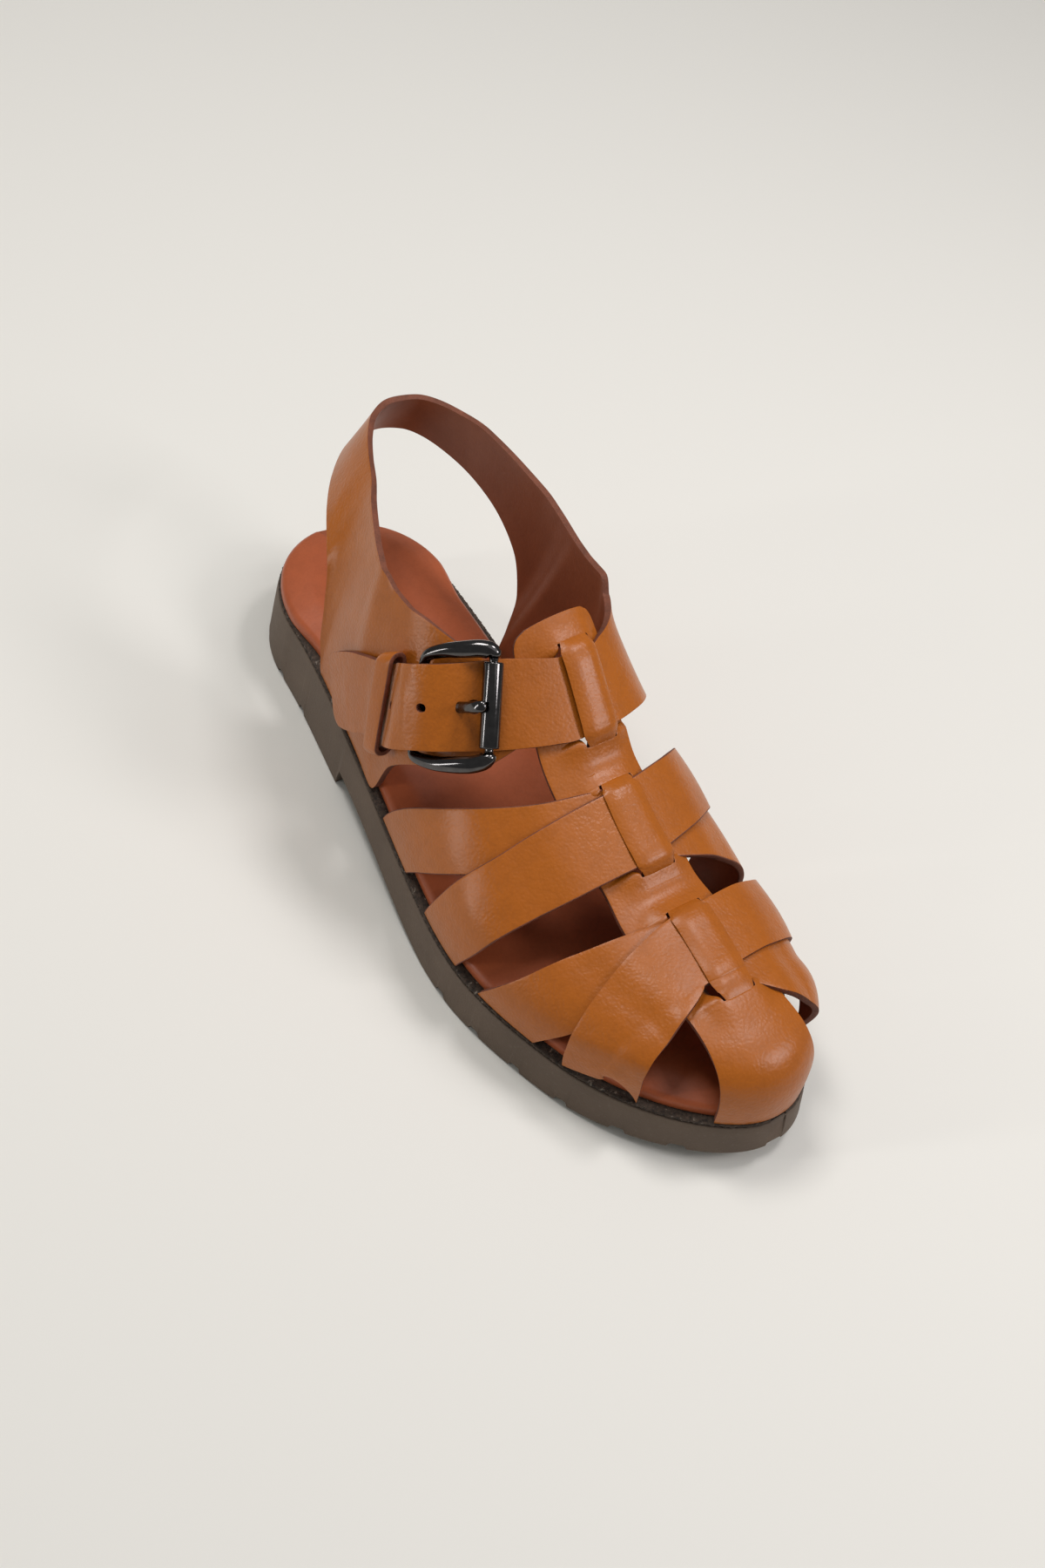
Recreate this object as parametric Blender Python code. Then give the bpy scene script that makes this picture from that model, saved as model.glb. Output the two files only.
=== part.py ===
"""Fisherman sandal, right foot, as separate pieces in metres.

+Y runs to the toe, +X to the outer side of the foot and +Z up. The origin lies on the floor
under the middle of the heel. The sole and the foot form that the straps follow are worked out
from the sizes below. A place on the form is given by its station (share of the sole's length)
and its turn (0 at the outer edge of the sole, 0.5 on the ridge, 1 at the inner edge).
"""
import bmesh
import bpy
import numpy as np
from mathutils import Matrix

MM = 0.001

SOLE_LENGTH = 258 * MM
HEEL_BEHIND = 40 * MM          # from the middle of the heel back to the end of the sole
BALL_WIDTH = 86 * MM           # widest part of the sole
FOREFOOT_THICKNESS = 13.6 * MM
HEEL_THICKNESS = 23 * MM
TOE_SPRING = 7 * MM
WAIST_LIFT = 7.5 * MM          # arch of the underside in front of the heel
SOLE_FLARE = 1.6 * MM          # how far the side of the sole leans out to the floor
SOLE_BEVEL = 0.6 * MM
GROOVE_DEPTH = 1.8 * MM
GROOVE_WIDTH = 4.2 * MM
BOARD_THICKNESS = 1.0 * MM
LEDGE = 0.8 * MM               # rim of the outsole left outside the straps
RIM_HEIGHT = 3.6 * MM          # flat margin of the insole
PAD_HEIGHT = 6.2 * MM          # padded middle of the insole
RIM_WIDTH = 4.5 * MM
LEATHER = 2.0 * MM             # thickness of every strap
BOND = 0.3 * MM                # how far joined straps sink into each other
GAP = 0.3 * MM                 # clearance between separate pieces
INSTEP_HEIGHT = 58 * MM        # ridge of the foot form at mid length, over the board
COLLAR_HEIGHT = 62 * MM        # upper edge of the heel strap, over the board
ROLLER_DIAMETER = 6.0 * MM
KEEPER_WIDTH = 7 * MM

# Outline of the sole: along, outer and inner edge as shares of the ball width, and rise from
# the forefoot thickness (0) to the heel thickness (1).
SOLE_ROWS = (
    (0.00, 0.362, -0.357, 1.00),
    (0.12, 0.362, -0.337, 1.00),
    (0.25, 0.420, -0.316, 0.97),
    (0.40, 0.508, -0.298, 0.58),
    (0.55, 0.597, -0.330, 0.18),
    (0.66, 0.627, -0.362, 0.00),
    (0.76, 0.577, -0.375, 0.00),
    (0.86, 0.485, -0.375, 0.06),
    (0.94, 0.400, -0.355, 0.22),
    (1.00, 0.330, -0.320, 0.45),
)
HEEL_ROUND = 0.13
TOE_ROUND = 0.20
TOE_POWER = 2.2

# Underside: along, lift off the floor as a share of the waist lift.
WAIST_ROWS = ((0.312, 0.0), (0.320, 1.0), (0.36, 0.98), (0.42, 0.80), (0.48, 0.52), (0.54, 0.22), (0.60, 0.0))
SPRING_FROM = 0.78
GROOVES = (0.058, 0.125, 0.192, 0.642, 0.705, 0.768, 0.831, 0.894, 0.948)

# Foot form: along, ridge from the middle of the sole (share of the ball width), height (share
# of the instep height), fullness of the outer and inner side, swell of each side.
FORM_ROWS = (
    (0.10, -0.060, 1.50, 2.20, 2.60, 0.00, 0.05),
    (0.20, -0.095, 1.54, 2.20, 2.50, 0.00, 0.07),
    (0.30, -0.130, 1.58, 2.30, 2.40, 0.00, 0.10),
    (0.40, -0.190, 1.36, 2.30, 2.20, 0.00, 0.12),
    (0.50, -0.200, 1.04, 2.10, 2.10, 0.01, 0.14),
    (0.60, -0.170, 0.77, 2.10, 2.10, 0.02, 0.165),
    (0.70, -0.150, 0.58, 2.20, 2.20, 0.03, 0.125),
    (0.80, -0.110, 0.46, 2.30, 2.40, 0.03, 0.085),
    (0.86, -0.060, 0.43, 2.40, 2.50, 0.03, 0.06),
)
FAN_FROM = 0.86                # past this station the sections fan round the toe

# Crossed straps: station and turn of the rear edge, station and turn of the front edge, and
# how many straps lie under this one.
MID_UNDER = (
    (0.436, 0.00, 0.515, 0.00, 0.0),
    (0.476, 0.08, 0.560, 0.09, 0.0),
    (0.525, 0.18, 0.600, 0.18, 0.0),
    (0.566, 0.28, 0.640, 0.28, 0.0),
    (0.596, 0.38, 0.677, 0.38, 1.0),
    (0.611, 0.47, 0.701, 0.47, 1.0),
    (0.622, 0.53, 0.707, 0.53, 1.0),
    (0.634, 0.60, 0.718, 0.60, 1.0),
    (0.648, 0.70, 0.729, 0.70, 0.0),
    (0.660, 0.85, 0.738, 0.85, 0.0),
    (0.668, 1.00, 0.739, 1.00, 0.0),
)
MID_OVER = (
    (0.570, 0.00, 0.648, 0.00, 0.0),
    (0.588, 0.09, 0.668, 0.09, 0.25),
    (0.602, 0.18, 0.681, 0.18, 1.0),
    (0.613, 0.28, 0.692, 0.28, 1.0),
    (0.616, 0.38, 0.700, 0.38, 2.0),
    (0.616, 0.47, 0.702, 0.47, 2.0),
    (0.611, 0.53, 0.694, 0.53, 2.0),
    (0.603, 0.60, 0.684, 0.60, 2.0),
    (0.589, 0.70, 0.666, 0.70, 1.0),
    (0.566, 0.85, 0.642, 0.85, 0.6),
    (0.550, 1.00, 0.628, 1.00, 0.0),
)
TOE_UNDER = (
    (0.690, 0.00, 0.775, 0.00, 0.0),
    (0.712, 0.08, 0.795, 0.08, 0.0),
    (0.729, 0.16, 0.811, 0.15, 0.0),
    (0.746, 0.28, 0.828, 0.28, 0.0),
    (0.760, 0.38, 0.846, 0.38, 1.0),
    (0.771, 0.47, 0.857, 0.47, 1.0),
    (0.782, 0.53, 0.864, 0.52, 1.0),
    (0.800, 0.60, 0.884, 0.59, 1.0),
    (0.822, 0.70, 0.912, 0.665, 0.0),
    (0.845, 0.85, 0.955, 0.740, 0.0),
    (0.855, 1.00, 1.000, 0.790, 0.0),
)
TOE_OVER = (
    (0.815, 0.00, 1.000, 0.200, 0.0),
    (0.814, 0.08, 0.945, 0.215, 0.2),
    (0.811, 0.16, 0.904, 0.255, 1.0),
    (0.798, 0.28, 0.882, 0.315, 1.0),
    (0.783, 0.38, 0.868, 0.385, 2.0),
    (0.770, 0.47, 0.858, 0.47, 2.0),
    (0.768, 0.53, 0.852, 0.53, 2.0),
    (0.765, 0.60, 0.848, 0.60, 2.0),
    (0.762, 0.70, 0.842, 0.70, 1.0),
    (0.752, 0.85, 0.832, 0.85, 0.6),
    (0.745, 1.00, 0.826, 1.00, 0.0),
)
# Centre strip: station, turn of its outer and inner edge.
STRIP_ROWS = (
    (0.444, 0.425, 0.545),
    (0.447, 0.406, 0.562),
    (0.454, 0.396, 0.571),
    (0.466, 0.392, 0.574),
    (0.550, 0.387, 0.566),
    (0.640, 0.402, 0.560),
    (0.705, 0.404, 0.560),
    (0.760, 0.394, 0.566),
    (0.868, 0.390, 0.578),
    (0.912, 0.384, 0.590),
    (0.965, 0.377, 0.602),
    (1.000, 0.373, 0.608),
)
BRIDGE_OUTER = 0.470
BRIDGE_INNER = 0.524
SLIT_WIDTH = 0.004
# Slits of the centre strip: first and last station, straps that its bridge crosses.
SLITS = ((0.466, 0.570, 2.0), (0.606, 0.714, 3.0), (0.762, 0.872, 3.0))
BRIDGE_RAMP = 0.014

# Heel strap on the outer side: station and turn of the lower and of the upper edge.
TAB_ROWS = (
    (0.533, 0.354, 0.468, 0.384),
    (0.529, 0.300, 0.450, 0.350),
    (0.500, 0.222, 0.412, 0.300),
    (0.462, 0.145, 0.375, 0.262),
    (0.425, 0.075, 0.345, 0.235),
    (0.390, 0.000, 0.318, 0.216),
)
# Heel strap behind: station, side place and height of the lower edge, the same of the upper
# edge (side places as shares of the ball width, heights of the collar height), and bow. A
# lower edge at height 0 stands on the edge of the sole.
HEEL_ROWS = (
    (0.345, 1.000, 0.00, 0.294, 0.308, 1.00, 0.036),
    (0.300, 1.000, 0.00, 0.271, 0.278, 1.00, 0.032),
    (0.255, 1.000, 0.00, 0.250, 0.250, 1.00, 0.028),
    (0.216, 1.000, 0.00, 0.231, 0.225, 1.00, 0.022),
    (0.204, 0.366, 0.16, 0.212, 0.202, 1.00, 0.016),
    (0.190, 0.343, 0.42, 0.188, 0.170, 1.00, 0.010),
    (0.165, 0.300, 0.64, 0.158, 0.122, 1.00, 0.004),
    (0.122, 0.225, 0.71, 0.118, 0.060, 0.99, 0.002),
    (0.072, 0.110, 0.72, 0.080, -0.010, 0.98, 0.002),
    (0.032, -0.030, 0.72, 0.050, -0.090, 0.97, 0.002),
    (0.016, -0.160, 0.72, 0.036, -0.180, 0.96, 0.002),
    (0.028, -0.270, 0.71, 0.046, -0.275, 0.97, 0.002),
    (0.070, -0.340, 0.70, 0.085, -0.355, 0.98, 0.002),
    (0.130, -0.376, 0.68, 0.140, -0.393, 1.00, 0.002),
    (0.190, -0.388, 0.62, 0.200, -0.402, 1.00, 0.004),
    (0.236, -0.388, 0.50, 0.256, -0.400, 1.00, 0.010),
    (0.262, -0.376, 0.30, 0.300, -0.383, 1.00, 0.018),
    (0.275, -0.325, 0.12, 0.330, -0.367, 1.00, 0.028),
    (0.286, -1.000, 0.00, 0.350, -0.357, 1.00, 0.034),
    (0.322, -1.000, 0.00, 0.371, -0.349, 1.00, 0.040),
    (0.360, -1.000, 0.00, 0.390, -0.342, 1.01, 0.044),
    (0.398, -1.000, 0.00, 0.410, -0.332, 1.025, 0.046),
)
# Ankle strap from the inner side over the instep to its tip: station and turn of the front and
# of the rear edge.
ANKLE_ROWS = (
    (0.438, 0.930, 0.424, 0.662),
    (0.482, 0.835, 0.443, 0.628),
    (0.520, 0.725, 0.460, 0.592),
    (0.543, 0.625, 0.472, 0.556),
    (0.554, 0.535, 0.480, 0.522),
    (0.556, 0.465, 0.479, 0.470),
    (0.548, 0.410, 0.469, 0.422),
    (0.535, 0.358, 0.456, 0.378),
    (0.516, 0.300, 0.440, 0.325),
    (0.494, 0.247, 0.423, 0.280),
    (0.462, 0.183, 0.401, 0.232),
    (0.432, 0.128, 0.381, 0.192),
    (0.405, 0.088, 0.357, 0.158),
    (0.374, 0.060, 0.326, 0.126),
    (0.344, 0.046, 0.295, 0.104),
    (0.314, 0.036, 0.265, 0.085),
    (0.294, 0.038, 0.250, 0.073),
    (0.282, 0.044, 0.246, 0.062),
)
ROLLER_PLACE = (0.484, 0.330)    # station and turn of the buckle's roller
BUCKLE_SKEW = 0.21               # slant of roller, bar and keeper to the strap
BAR_BACK = 21 * MM               # from the roller back to the bar of the buckle
KEEPER_BACK = 35 * MM
ROLLER_LENGTH = 25 * MM
STRAP_HALF = 13 * MM
BAR_WIRE = 3.0 * MM
PIN_WIRE = 2.6 * MM
PRONG_WIDTH = 3.4 * MM
PRONG_HEIGHT = 2.2 * MM
HOLE_BACKS = (17.5 * MM, 28 * MM)    # free holes of the ankle strap
HOLE_SIZE = 2.6 * MM
CHAPE_LEATHER = 1.2 * MM
CHAPE_WIDTH = 23 * MM
KEEPER_LEATHER = 1.4 * MM
KEEPER_HALF = 14.5 * MM          # half the inside width of the keeper loop
CROWN = 0.25 * MM                # rise of the tab's middle over its edges
BAR_HEIGHT = LEATHER + CROWN + GAP + CHAPE_LEATHER + GAP + BAR_WIRE / 2
OVER_BAR = BAR_HEIGHT + BAR_WIRE / 2 + CHAPE_LEATHER + 3 * GAP
OVER_TAB = LEATHER + CROWN + GAP
PIN_HEIGHT = OVER_TAB + CROWN + LEATHER + GAP + ROLLER_DIAMETER / 2
FOLD = BAR_WIRE / 2 + GAP + CHAPE_LEATHER / 2
OVER_KEEPER = LEATHER + CROWN + 2 * GAP + KEEPER_LEATHER

# Height of the ankle strap's inner face over the tab's inner face: way back from the roller.
STRAP_LIFTS = (
    (-200 * MM, 0.0), (-100 * MM, 0.0), (-66 * MM, LEATHER + GAP), (-12 * MM, LEATHER + GAP),
    (0.0, OVER_TAB + CROWN), (8 * MM, OVER_TAB + 2.5 * MM), (BAR_BACK - 3 * MM, OVER_BAR),
    (BAR_BACK + 2.5 * MM, OVER_BAR), (BAR_BACK + 6 * MM, OVER_BAR - 2 * MM),
    (KEEPER_BACK - 3.5 * MM, OVER_KEEPER + 0.5 * MM), (KEEPER_BACK + 4 * MM, OVER_KEEPER),
    (KEEPER_BACK + 12 * MM, OVER_TAB + 0.8 * MM), (80 * MM, OVER_TAB + 0.4 * MM),
)
# Buckle frame from the middle of its bar to the middle of its pin: way back, side, radius.
FRAME_ROWS = (
    (BAR_BACK, 0.0, BAR_WIRE / 2),
    (BAR_BACK, 12.4 * MM, BAR_WIRE / 2),
    (20.2 * MM, 14.9 * MM, 1.7 * MM),
    (17.0 * MM, 16.1 * MM, 2.0 * MM),
    (12.0 * MM, 16.7 * MM, 2.3 * MM),
    (5.0 * MM, 16.8 * MM, 2.6 * MM),
    (1.6 * MM, 16.2 * MM, 2.6 * MM),
    (0.0, 14.6 * MM, 2.3 * MM),
    (0.0, 13.2 * MM, PIN_WIRE / 2),
    (0.0, 0.0, PIN_WIRE / 2),
)
# Prong past its hook: way back, height over the tab's inner face, half height.
PRONG_ROWS = (
    (16.5 * MM, 4.1 * MM, 0.8 * MM),
    (14.0 * MM, 4.5 * MM, 1.0 * MM),
    (11.0 * MM, 5.3 * MM, PRONG_HEIGHT / 2),
    (8.0 * MM, 7.3 * MM, PRONG_HEIGHT / 2),
    (5.5 * MM, 10.2 * MM, PRONG_HEIGHT / 2),
    (3.0 * MM, 12.9 * MM, PRONG_HEIGHT / 2),
    (0.9 * MM, 14.0 * MM, PRONG_HEIGHT / 2 - 0.2 * MM),
)


def spline(rows, at):
    """Natural cubic curve through rows whose first column is the place; read at each place."""
    rows = np.asarray(rows, float)
    place, value = rows[:, 0], rows[:, 1:]
    step = np.diff(place)
    count = len(place)
    matrix = np.eye(count)
    right = np.zeros_like(value)
    for i in range(1, count - 1):
        matrix[i, i - 1:i + 2] = step[i - 1], 2 * (step[i - 1] + step[i]), step[i]
        right[i] = 6 * ((value[i + 1] - value[i]) / step[i] - (value[i] - value[i - 1]) / step[i - 1])
    bend = np.linalg.solve(matrix, right)
    at = np.clip(np.asarray(at, float), place[0], place[-1])
    i = np.clip(np.searchsorted(place, at) - 1, 0, count - 2)
    after = (at - place[i])[..., None]
    before = (place[i + 1] - at)[..., None]
    h = step[i][..., None]
    curve = (bend[i] * before ** 3 + bend[i + 1] * after ** 3) / (6 * h)
    curve += (value[i] / h - bend[i] * h / 6) * before
    return curve + (value[i + 1] / h - bend[i + 1] * h / 6) * after


def smooth_rows(place, values, at):
    """Curve through values that never swings past them, read at each place."""
    place, values = np.asarray(place, float), np.asarray(values, float)
    step = np.diff(place)
    step = step.reshape(step.shape + (1,) * (values.ndim - 1))
    slope = np.diff(values, axis=0) / step
    same = slope[:-1] * slope[1:] > 0
    mean = np.where(same, 2 * slope[:-1] * slope[1:] / np.where(same, slope[:-1] + slope[1:], 1), 0)
    tangent = np.concatenate([slope[:1], mean, slope[-1:]])
    i = np.clip(np.searchsorted(place, at) - 1, 0, len(place) - 2)
    t = ((at - place[i]) / (place[i + 1] - place[i])).reshape((-1,) + (1,) * (values.ndim - 1))
    h = step[i]
    curve = values[i] * (1 + 2 * t) * (1 - t) ** 2 + values[i + 1] * t * t * (3 - 2 * t)
    return curve + h * (tangent[i] * t * (1 - t) ** 2 - tangent[i + 1] * t * t * (1 - t))


def ease(value):
    """0 to 1 with level ends."""
    t = np.clip(value, 0, 1)
    return t * t * (3 - 2 * t)


def along(station):
    return np.asarray(station) * SOLE_LENGTH - HEEL_BEHIND


def edge(station, side, out=0.0):
    """Plan point of the sole's edge; side 1 is the outer and -1 the inner edge, out moves it off."""
    def raw(u):
        outer, inner = np.moveaxis(spline(SOLE_ROWS, u)[..., :2] * BALL_WIDTH, -1, 0)
        back = np.clip(1 - u / HEEL_ROUND, 0, 1)
        front = np.clip(1 - (1 - u) / TOE_ROUND, 0, 1)
        tip = np.sqrt(1 - back ** 2) * (1 - front ** TOE_POWER) ** (1 / TOE_POWER)
        return np.stack([(outer + inner) / 2 + side * (outer - inner) / 2 * tip, along(u)], -1)
    u = np.clip(np.asarray(station, float), 0, 1)
    point = raw(u)
    run = raw(np.minimum(u + 1e-4, 1)) - raw(np.maximum(u - 1e-4, 0))
    run /= np.linalg.norm(run, axis=-1, keepdims=True)
    away = np.stack([run[..., 1], -run[..., 0]], -1) * side
    return point + away * np.asarray(out)[..., None]


def top_edge(station):
    """Height of the outsole's top edge."""
    rise = spline(SOLE_ROWS, station)[..., 2]
    return FOREFOOT_THICKNESS + (HEEL_THICKNESS - FOREFOOT_THICKNESS) * rise


def seat(station):
    """Height at which insole and straps stand on the board."""
    return top_edge(station) + BOARD_THICKNESS + 2 * GAP


def underside(station):
    """Height of the underside over the floor: waist arch and toe spring."""
    rows = np.asarray(WAIST_ROWS)
    waist = np.interp(station, rows[:, 0], rows[:, 1], left=0, right=0) * WAIST_LIFT
    toe = np.clip((np.asarray(station) - SPRING_FROM) / (1 - SPRING_FROM), 0, 1)
    return waist + TOE_SPRING * toe ** 2


def form_point(station, turn):
    """Point of the foot form: arched sections, which fan round the toe past FAN_FROM."""
    station, turn = np.broadcast_arrays(np.asarray(station, float), np.asarray(turn, float))
    u = np.minimum(station, FAN_FROM)
    fan = np.clip((station - FAN_FROM) / (1 - FAN_FROM), 0, 1) * np.pi / 2
    inset = LEDGE + LEATHER
    outer = edge(u, 1, -inset)[..., 0]
    inner = edge(u, -1, -inset)[..., 0]
    ridge, height, full_outer, full_inner, swell_outer, swell_inner = np.moveaxis(
        spline(FORM_ROWS, u), -1, 0)
    ridge = (outer + inner) / 2 + ridge * BALL_WIDTH
    cosine, sine = np.cos(np.pi * turn), np.clip(np.sin(np.pi * turn), 0, 1)
    on_outer = cosine > 0
    power = np.where(on_outer, full_outer, full_inner)
    reach = np.where(on_outer, outer - ridge, ridge - inner)
    swell = np.where(on_outer, swell_outer, swell_inner) * BALL_WIDTH * 2 * np.abs(cosine) * sine
    across = np.sign(cosine) * reach * np.abs(cosine) ** (2 / power)
    plain = ridge + across
    u_toe = 1 - (1 - FAN_FROM) * np.linspace(1, 0, 90) ** 2
    outer_toe, inner_toe = edge(u_toe, 1, -inset), edge(u_toe, -1, -inset)
    forward = np.where(on_outer,
                       np.interp(-plain, -outer_toe[:, 0], outer_toe[:, 1]),
                       np.interp(plain, inner_toe[:, 0], inner_toe[:, 1]))
    start = along(u)
    forward = np.maximum(forward - start, 0)
    rise = sine ** (2 / power)
    foot = seat((start + forward + HEEL_BEHIND) / SOLE_LENGTH) - seat(u)
    x = plain + np.sign(cosine) * swell * np.cos(fan)
    y = start + forward * np.sin(fan)
    z = seat(u) + height * INSTEP_HEIGHT * rise * np.cos(fan) + foot * np.sin(fan) ** 2
    return np.stack([x, y, z], -1)


def form(station, turn, lift=0.0):
    """Point at a height over the foot form."""
    station, turn = np.broadcast_arrays(np.asarray(station, float), np.asarray(turn, float))
    e = 2e-3
    forward = form_point(station + e, turn) - form_point(station - e, turn)
    round_ = form_point(station, np.clip(turn + e, e, 1 - e)) - form_point(station, np.clip(turn - e, 0, 1 - 2 * e))
    out = np.cross(forward, round_)
    out /= np.maximum(np.linalg.norm(out, axis=-1, keepdims=True), 1e-12)
    return form_point(station, turn) + out * np.asarray(lift)[..., None]


def sheet_grid(rows, count, across):
    """Places of a strap on the form: rows along it, a given number of steps across."""
    rows = np.asarray(rows, float)
    at = np.linspace(0, 1, count + 1)
    rows = smooth_rows(np.linspace(0, 1, len(rows)), rows, at)
    share = np.linspace(0, 1, across + 1)[None, :]
    station = rows[:, 0:1] * (1 - share) + rows[:, 2:3] * share
    turn = rows[:, 1:2] * (1 - share) + rows[:, 3:4] * share
    return station, turn, rows[:, 4:]


def grid_normals(points):
    """Unit normals of a grid of points, out of the foot on a strap that runs from its tab."""
    first = np.gradient(points, axis=0)
    second = np.gradient(points, axis=1)
    out = np.cross(second, first)
    return out / np.maximum(np.linalg.norm(out, axis=-1, keepdims=True), 1e-12)


def solid_sheet(name, inner, outer, keep=None, wrap=False):
    """Closed sheet between two grids of points; keep masks the cells that are there."""
    rows, columns = inner.shape[:2]
    cells = np.ones((rows - (not wrap), columns - 1), bool) if keep is None else keep
    mesh = bmesh.new()
    low, high = {}, {}

    def corner(store, grid, i, j):
        i %= rows
        if (i, j) not in store:
            store[i, j] = mesh.verts.new(grid[i, j])
        return store[i, j]

    def there(i, j):
        if wrap:
            i %= rows
        return 0 <= i < cells.shape[0] and 0 <= j < cells.shape[1] and cells[i, j]

    for i, j in zip(*np.nonzero(cells)):
        ring = ((i, j), (i + 1, j), (i + 1, j + 1), (i, j + 1))
        mesh.faces.new([corner(high, outer, *place) for place in ring])
        mesh.faces.new([corner(low, inner, *place) for place in reversed(ring)])
        beside = ((i, j - 1), (i + 1, j), (i, j + 1), (i - 1, j))
        for k in range(4):
            if there(*beside[k]):
                continue
            a, b = ring[k], ring[(k + 1) % 4]
            mesh.faces.new([corner(high, outer, *b), corner(high, outer, *a),
                            corner(low, inner, *a), corner(low, inner, *b)])
    return finish_mesh(name, mesh)


def finish_mesh(name, mesh):
    bmesh.ops.triangulate(mesh, faces=mesh.faces)
    bmesh.ops.recalc_face_normals(mesh, faces=mesh.faces)
    data = bpy.data.meshes.new(name)
    mesh.to_mesh(data)
    mesh.free()
    return bpy.data.objects.new(name, data)


def loft(name, rings):
    """Closed solid through rings of equal counts, capped at both ends."""
    mesh = bmesh.new()
    verts = [[mesh.verts.new(point) for point in ring] for ring in rings]
    count = len(verts[0])
    for a, b in zip(verts[:-1], verts[1:]):
        for k in range(count):
            mesh.faces.new((a[k], a[(k + 1) % count], b[(k + 1) % count], b[k]))
    mesh.faces.new(list(reversed(verts[0])))
    mesh.faces.new(verts[-1])
    return finish_mesh(name, mesh)


def material(name, colour, roughness, metallic=0.0):
    made = bpy.data.materials.new(name)
    made.use_nodes = True
    shader = made.node_tree.nodes["Principled BSDF"]
    shader.inputs["Base Color"].default_value = (*colour, 1)
    shader.inputs["Roughness"].default_value = roughness
    shader.inputs["Metallic"].default_value = metallic
    return made


def place(thing, finish, group):
    group.objects.link(thing)
    thing.data.materials.append(finish)
    return thing


def stations(step, marks=()):
    """Stations of a sole loft, close together at both ends, with pairs at each mark."""
    ends = np.array([0.0015, 0.006, 0.014, 0.028, 0.048])
    middle = np.arange(0.07, 0.94, step)
    pairs = [mark + shift for mark in marks for shift in (-2e-4, 2e-4)]
    return np.unique(np.round(np.concatenate([ends, middle, 1 - ends, pairs]), 5))


def sole_ring(station, outline, bottom_shares=()):
    """Ring of a sole layer. Each point of its outline, from the top middle down one side, is
    the distance out from the sole's edge and the height over the top edge at its own place."""
    sides = []
    for side in (1, -1):
        points = np.array([edge(station, side, out) for out, _ in outline])
        heights = top_edge((points[:, 1] + HEEL_BEHIND) / SOLE_LENGTH) + [row[1] for row in outline]
        sides.append(np.column_stack([points, heights]))
    outer, inner = sides
    bottom = [outer[-1] + (inner[-1] - outer[-1]) * share for share in bottom_shares]
    return [*outer, *bottom, *inner[::-1]]


def outsole():
    half = GROOVE_WIDTH / 2 / SOLE_LENGTH
    walls = [groove + way * half for groove in GROOVES for way in (-1, 1)]
    breast = [row[0] for row in WAIST_ROWS[:2]]
    rings = []
    for station in np.unique(np.concatenate([stations(0.03, walls), breast])):
        low = underside(station)
        if np.min(np.abs(station - np.array(GROOVES))) < half:
            low = low + GROOVE_DEPTH
        depth = top_edge(station) - low
        outline = ((-SOLE_BEVEL, 0.0), (0.0, -SOLE_BEVEL), (SOLE_FLARE * 0.7, -depth / 2),
                   (SOLE_FLARE, SOLE_BEVEL - depth), (SOLE_FLARE - SOLE_BEVEL, -depth))
        ring = np.array(sole_ring(station, outline, (0.33, 0.67)))
        ring[4:8, 2] = low
        rings.append(ring)
    return loft("outsole", rings)


def board():
    """Board with its edge a little inside the outsole's."""
    outline = ((-LEDGE / 2, GAP + BOARD_THICKNESS), (-LEDGE / 2, GAP))
    return loft("insole_board", [sole_ring(station, outline) for station in stations(0.03)])


def insole():
    """Padded insole: flat rim, rounded step and raised middle. At the heel its rim reaches the
    edge; further on it stays inside the straps."""
    rings = []
    low = BOARD_THICKNESS + 2 * GAP
    for station in stations(0.03):
        inset = -LEDGE - (LEATHER + 2 * GAP) * ease((station - 0.12) / 0.08)
        step = inset - RIM_WIDTH
        outline = ((step - 5 * MM, low + PAD_HEIGHT), (step - 1.5 * MM, low + PAD_HEIGHT - 0.8 * MM),
                   (step, low + RIM_HEIGHT - 0.3 * MM), (inset - 0.9 * MM, low + RIM_HEIGHT),
                   (inset - 0.2 * MM, low + RIM_HEIGHT * 0.75), (inset, low))
        rings.append(sole_ring(station, outline))
    return loft("insole", rings)


def stand(points):
    """Points kept at or over the height of the seat."""
    level = seat((points[..., 1] + HEEL_BEHIND) / SOLE_LENGTH)
    points[..., 2] = np.maximum(points[..., 2], level)
    return points


def strap_solid(name, rows, count):
    """Crossed strap: a sheet of leather on the form, over what lies under it."""
    station, turn, under = sheet_grid(rows, count, 2)
    lift = np.broadcast_to(under * (LEATHER - BOND), station.shape)
    return solid_sheet(name, stand(form(station, turn, lift)), stand(form(station, turn, lift + LEATHER)))


def bridge_lift(station):
    """Height of the strip's bridges over the foot form."""
    lift = np.zeros_like(station)
    for first, last, crossed in SLITS:
        hump = ease((station - first) / BRIDGE_RAMP) * ease((last - station) / BRIDGE_RAMP)
        joined = crossed > 2
        height = crossed * (LEATHER - BOND) if joined else crossed * (LEATHER + 1.5 * GAP)
        lift += hump * height
    return lift


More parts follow.
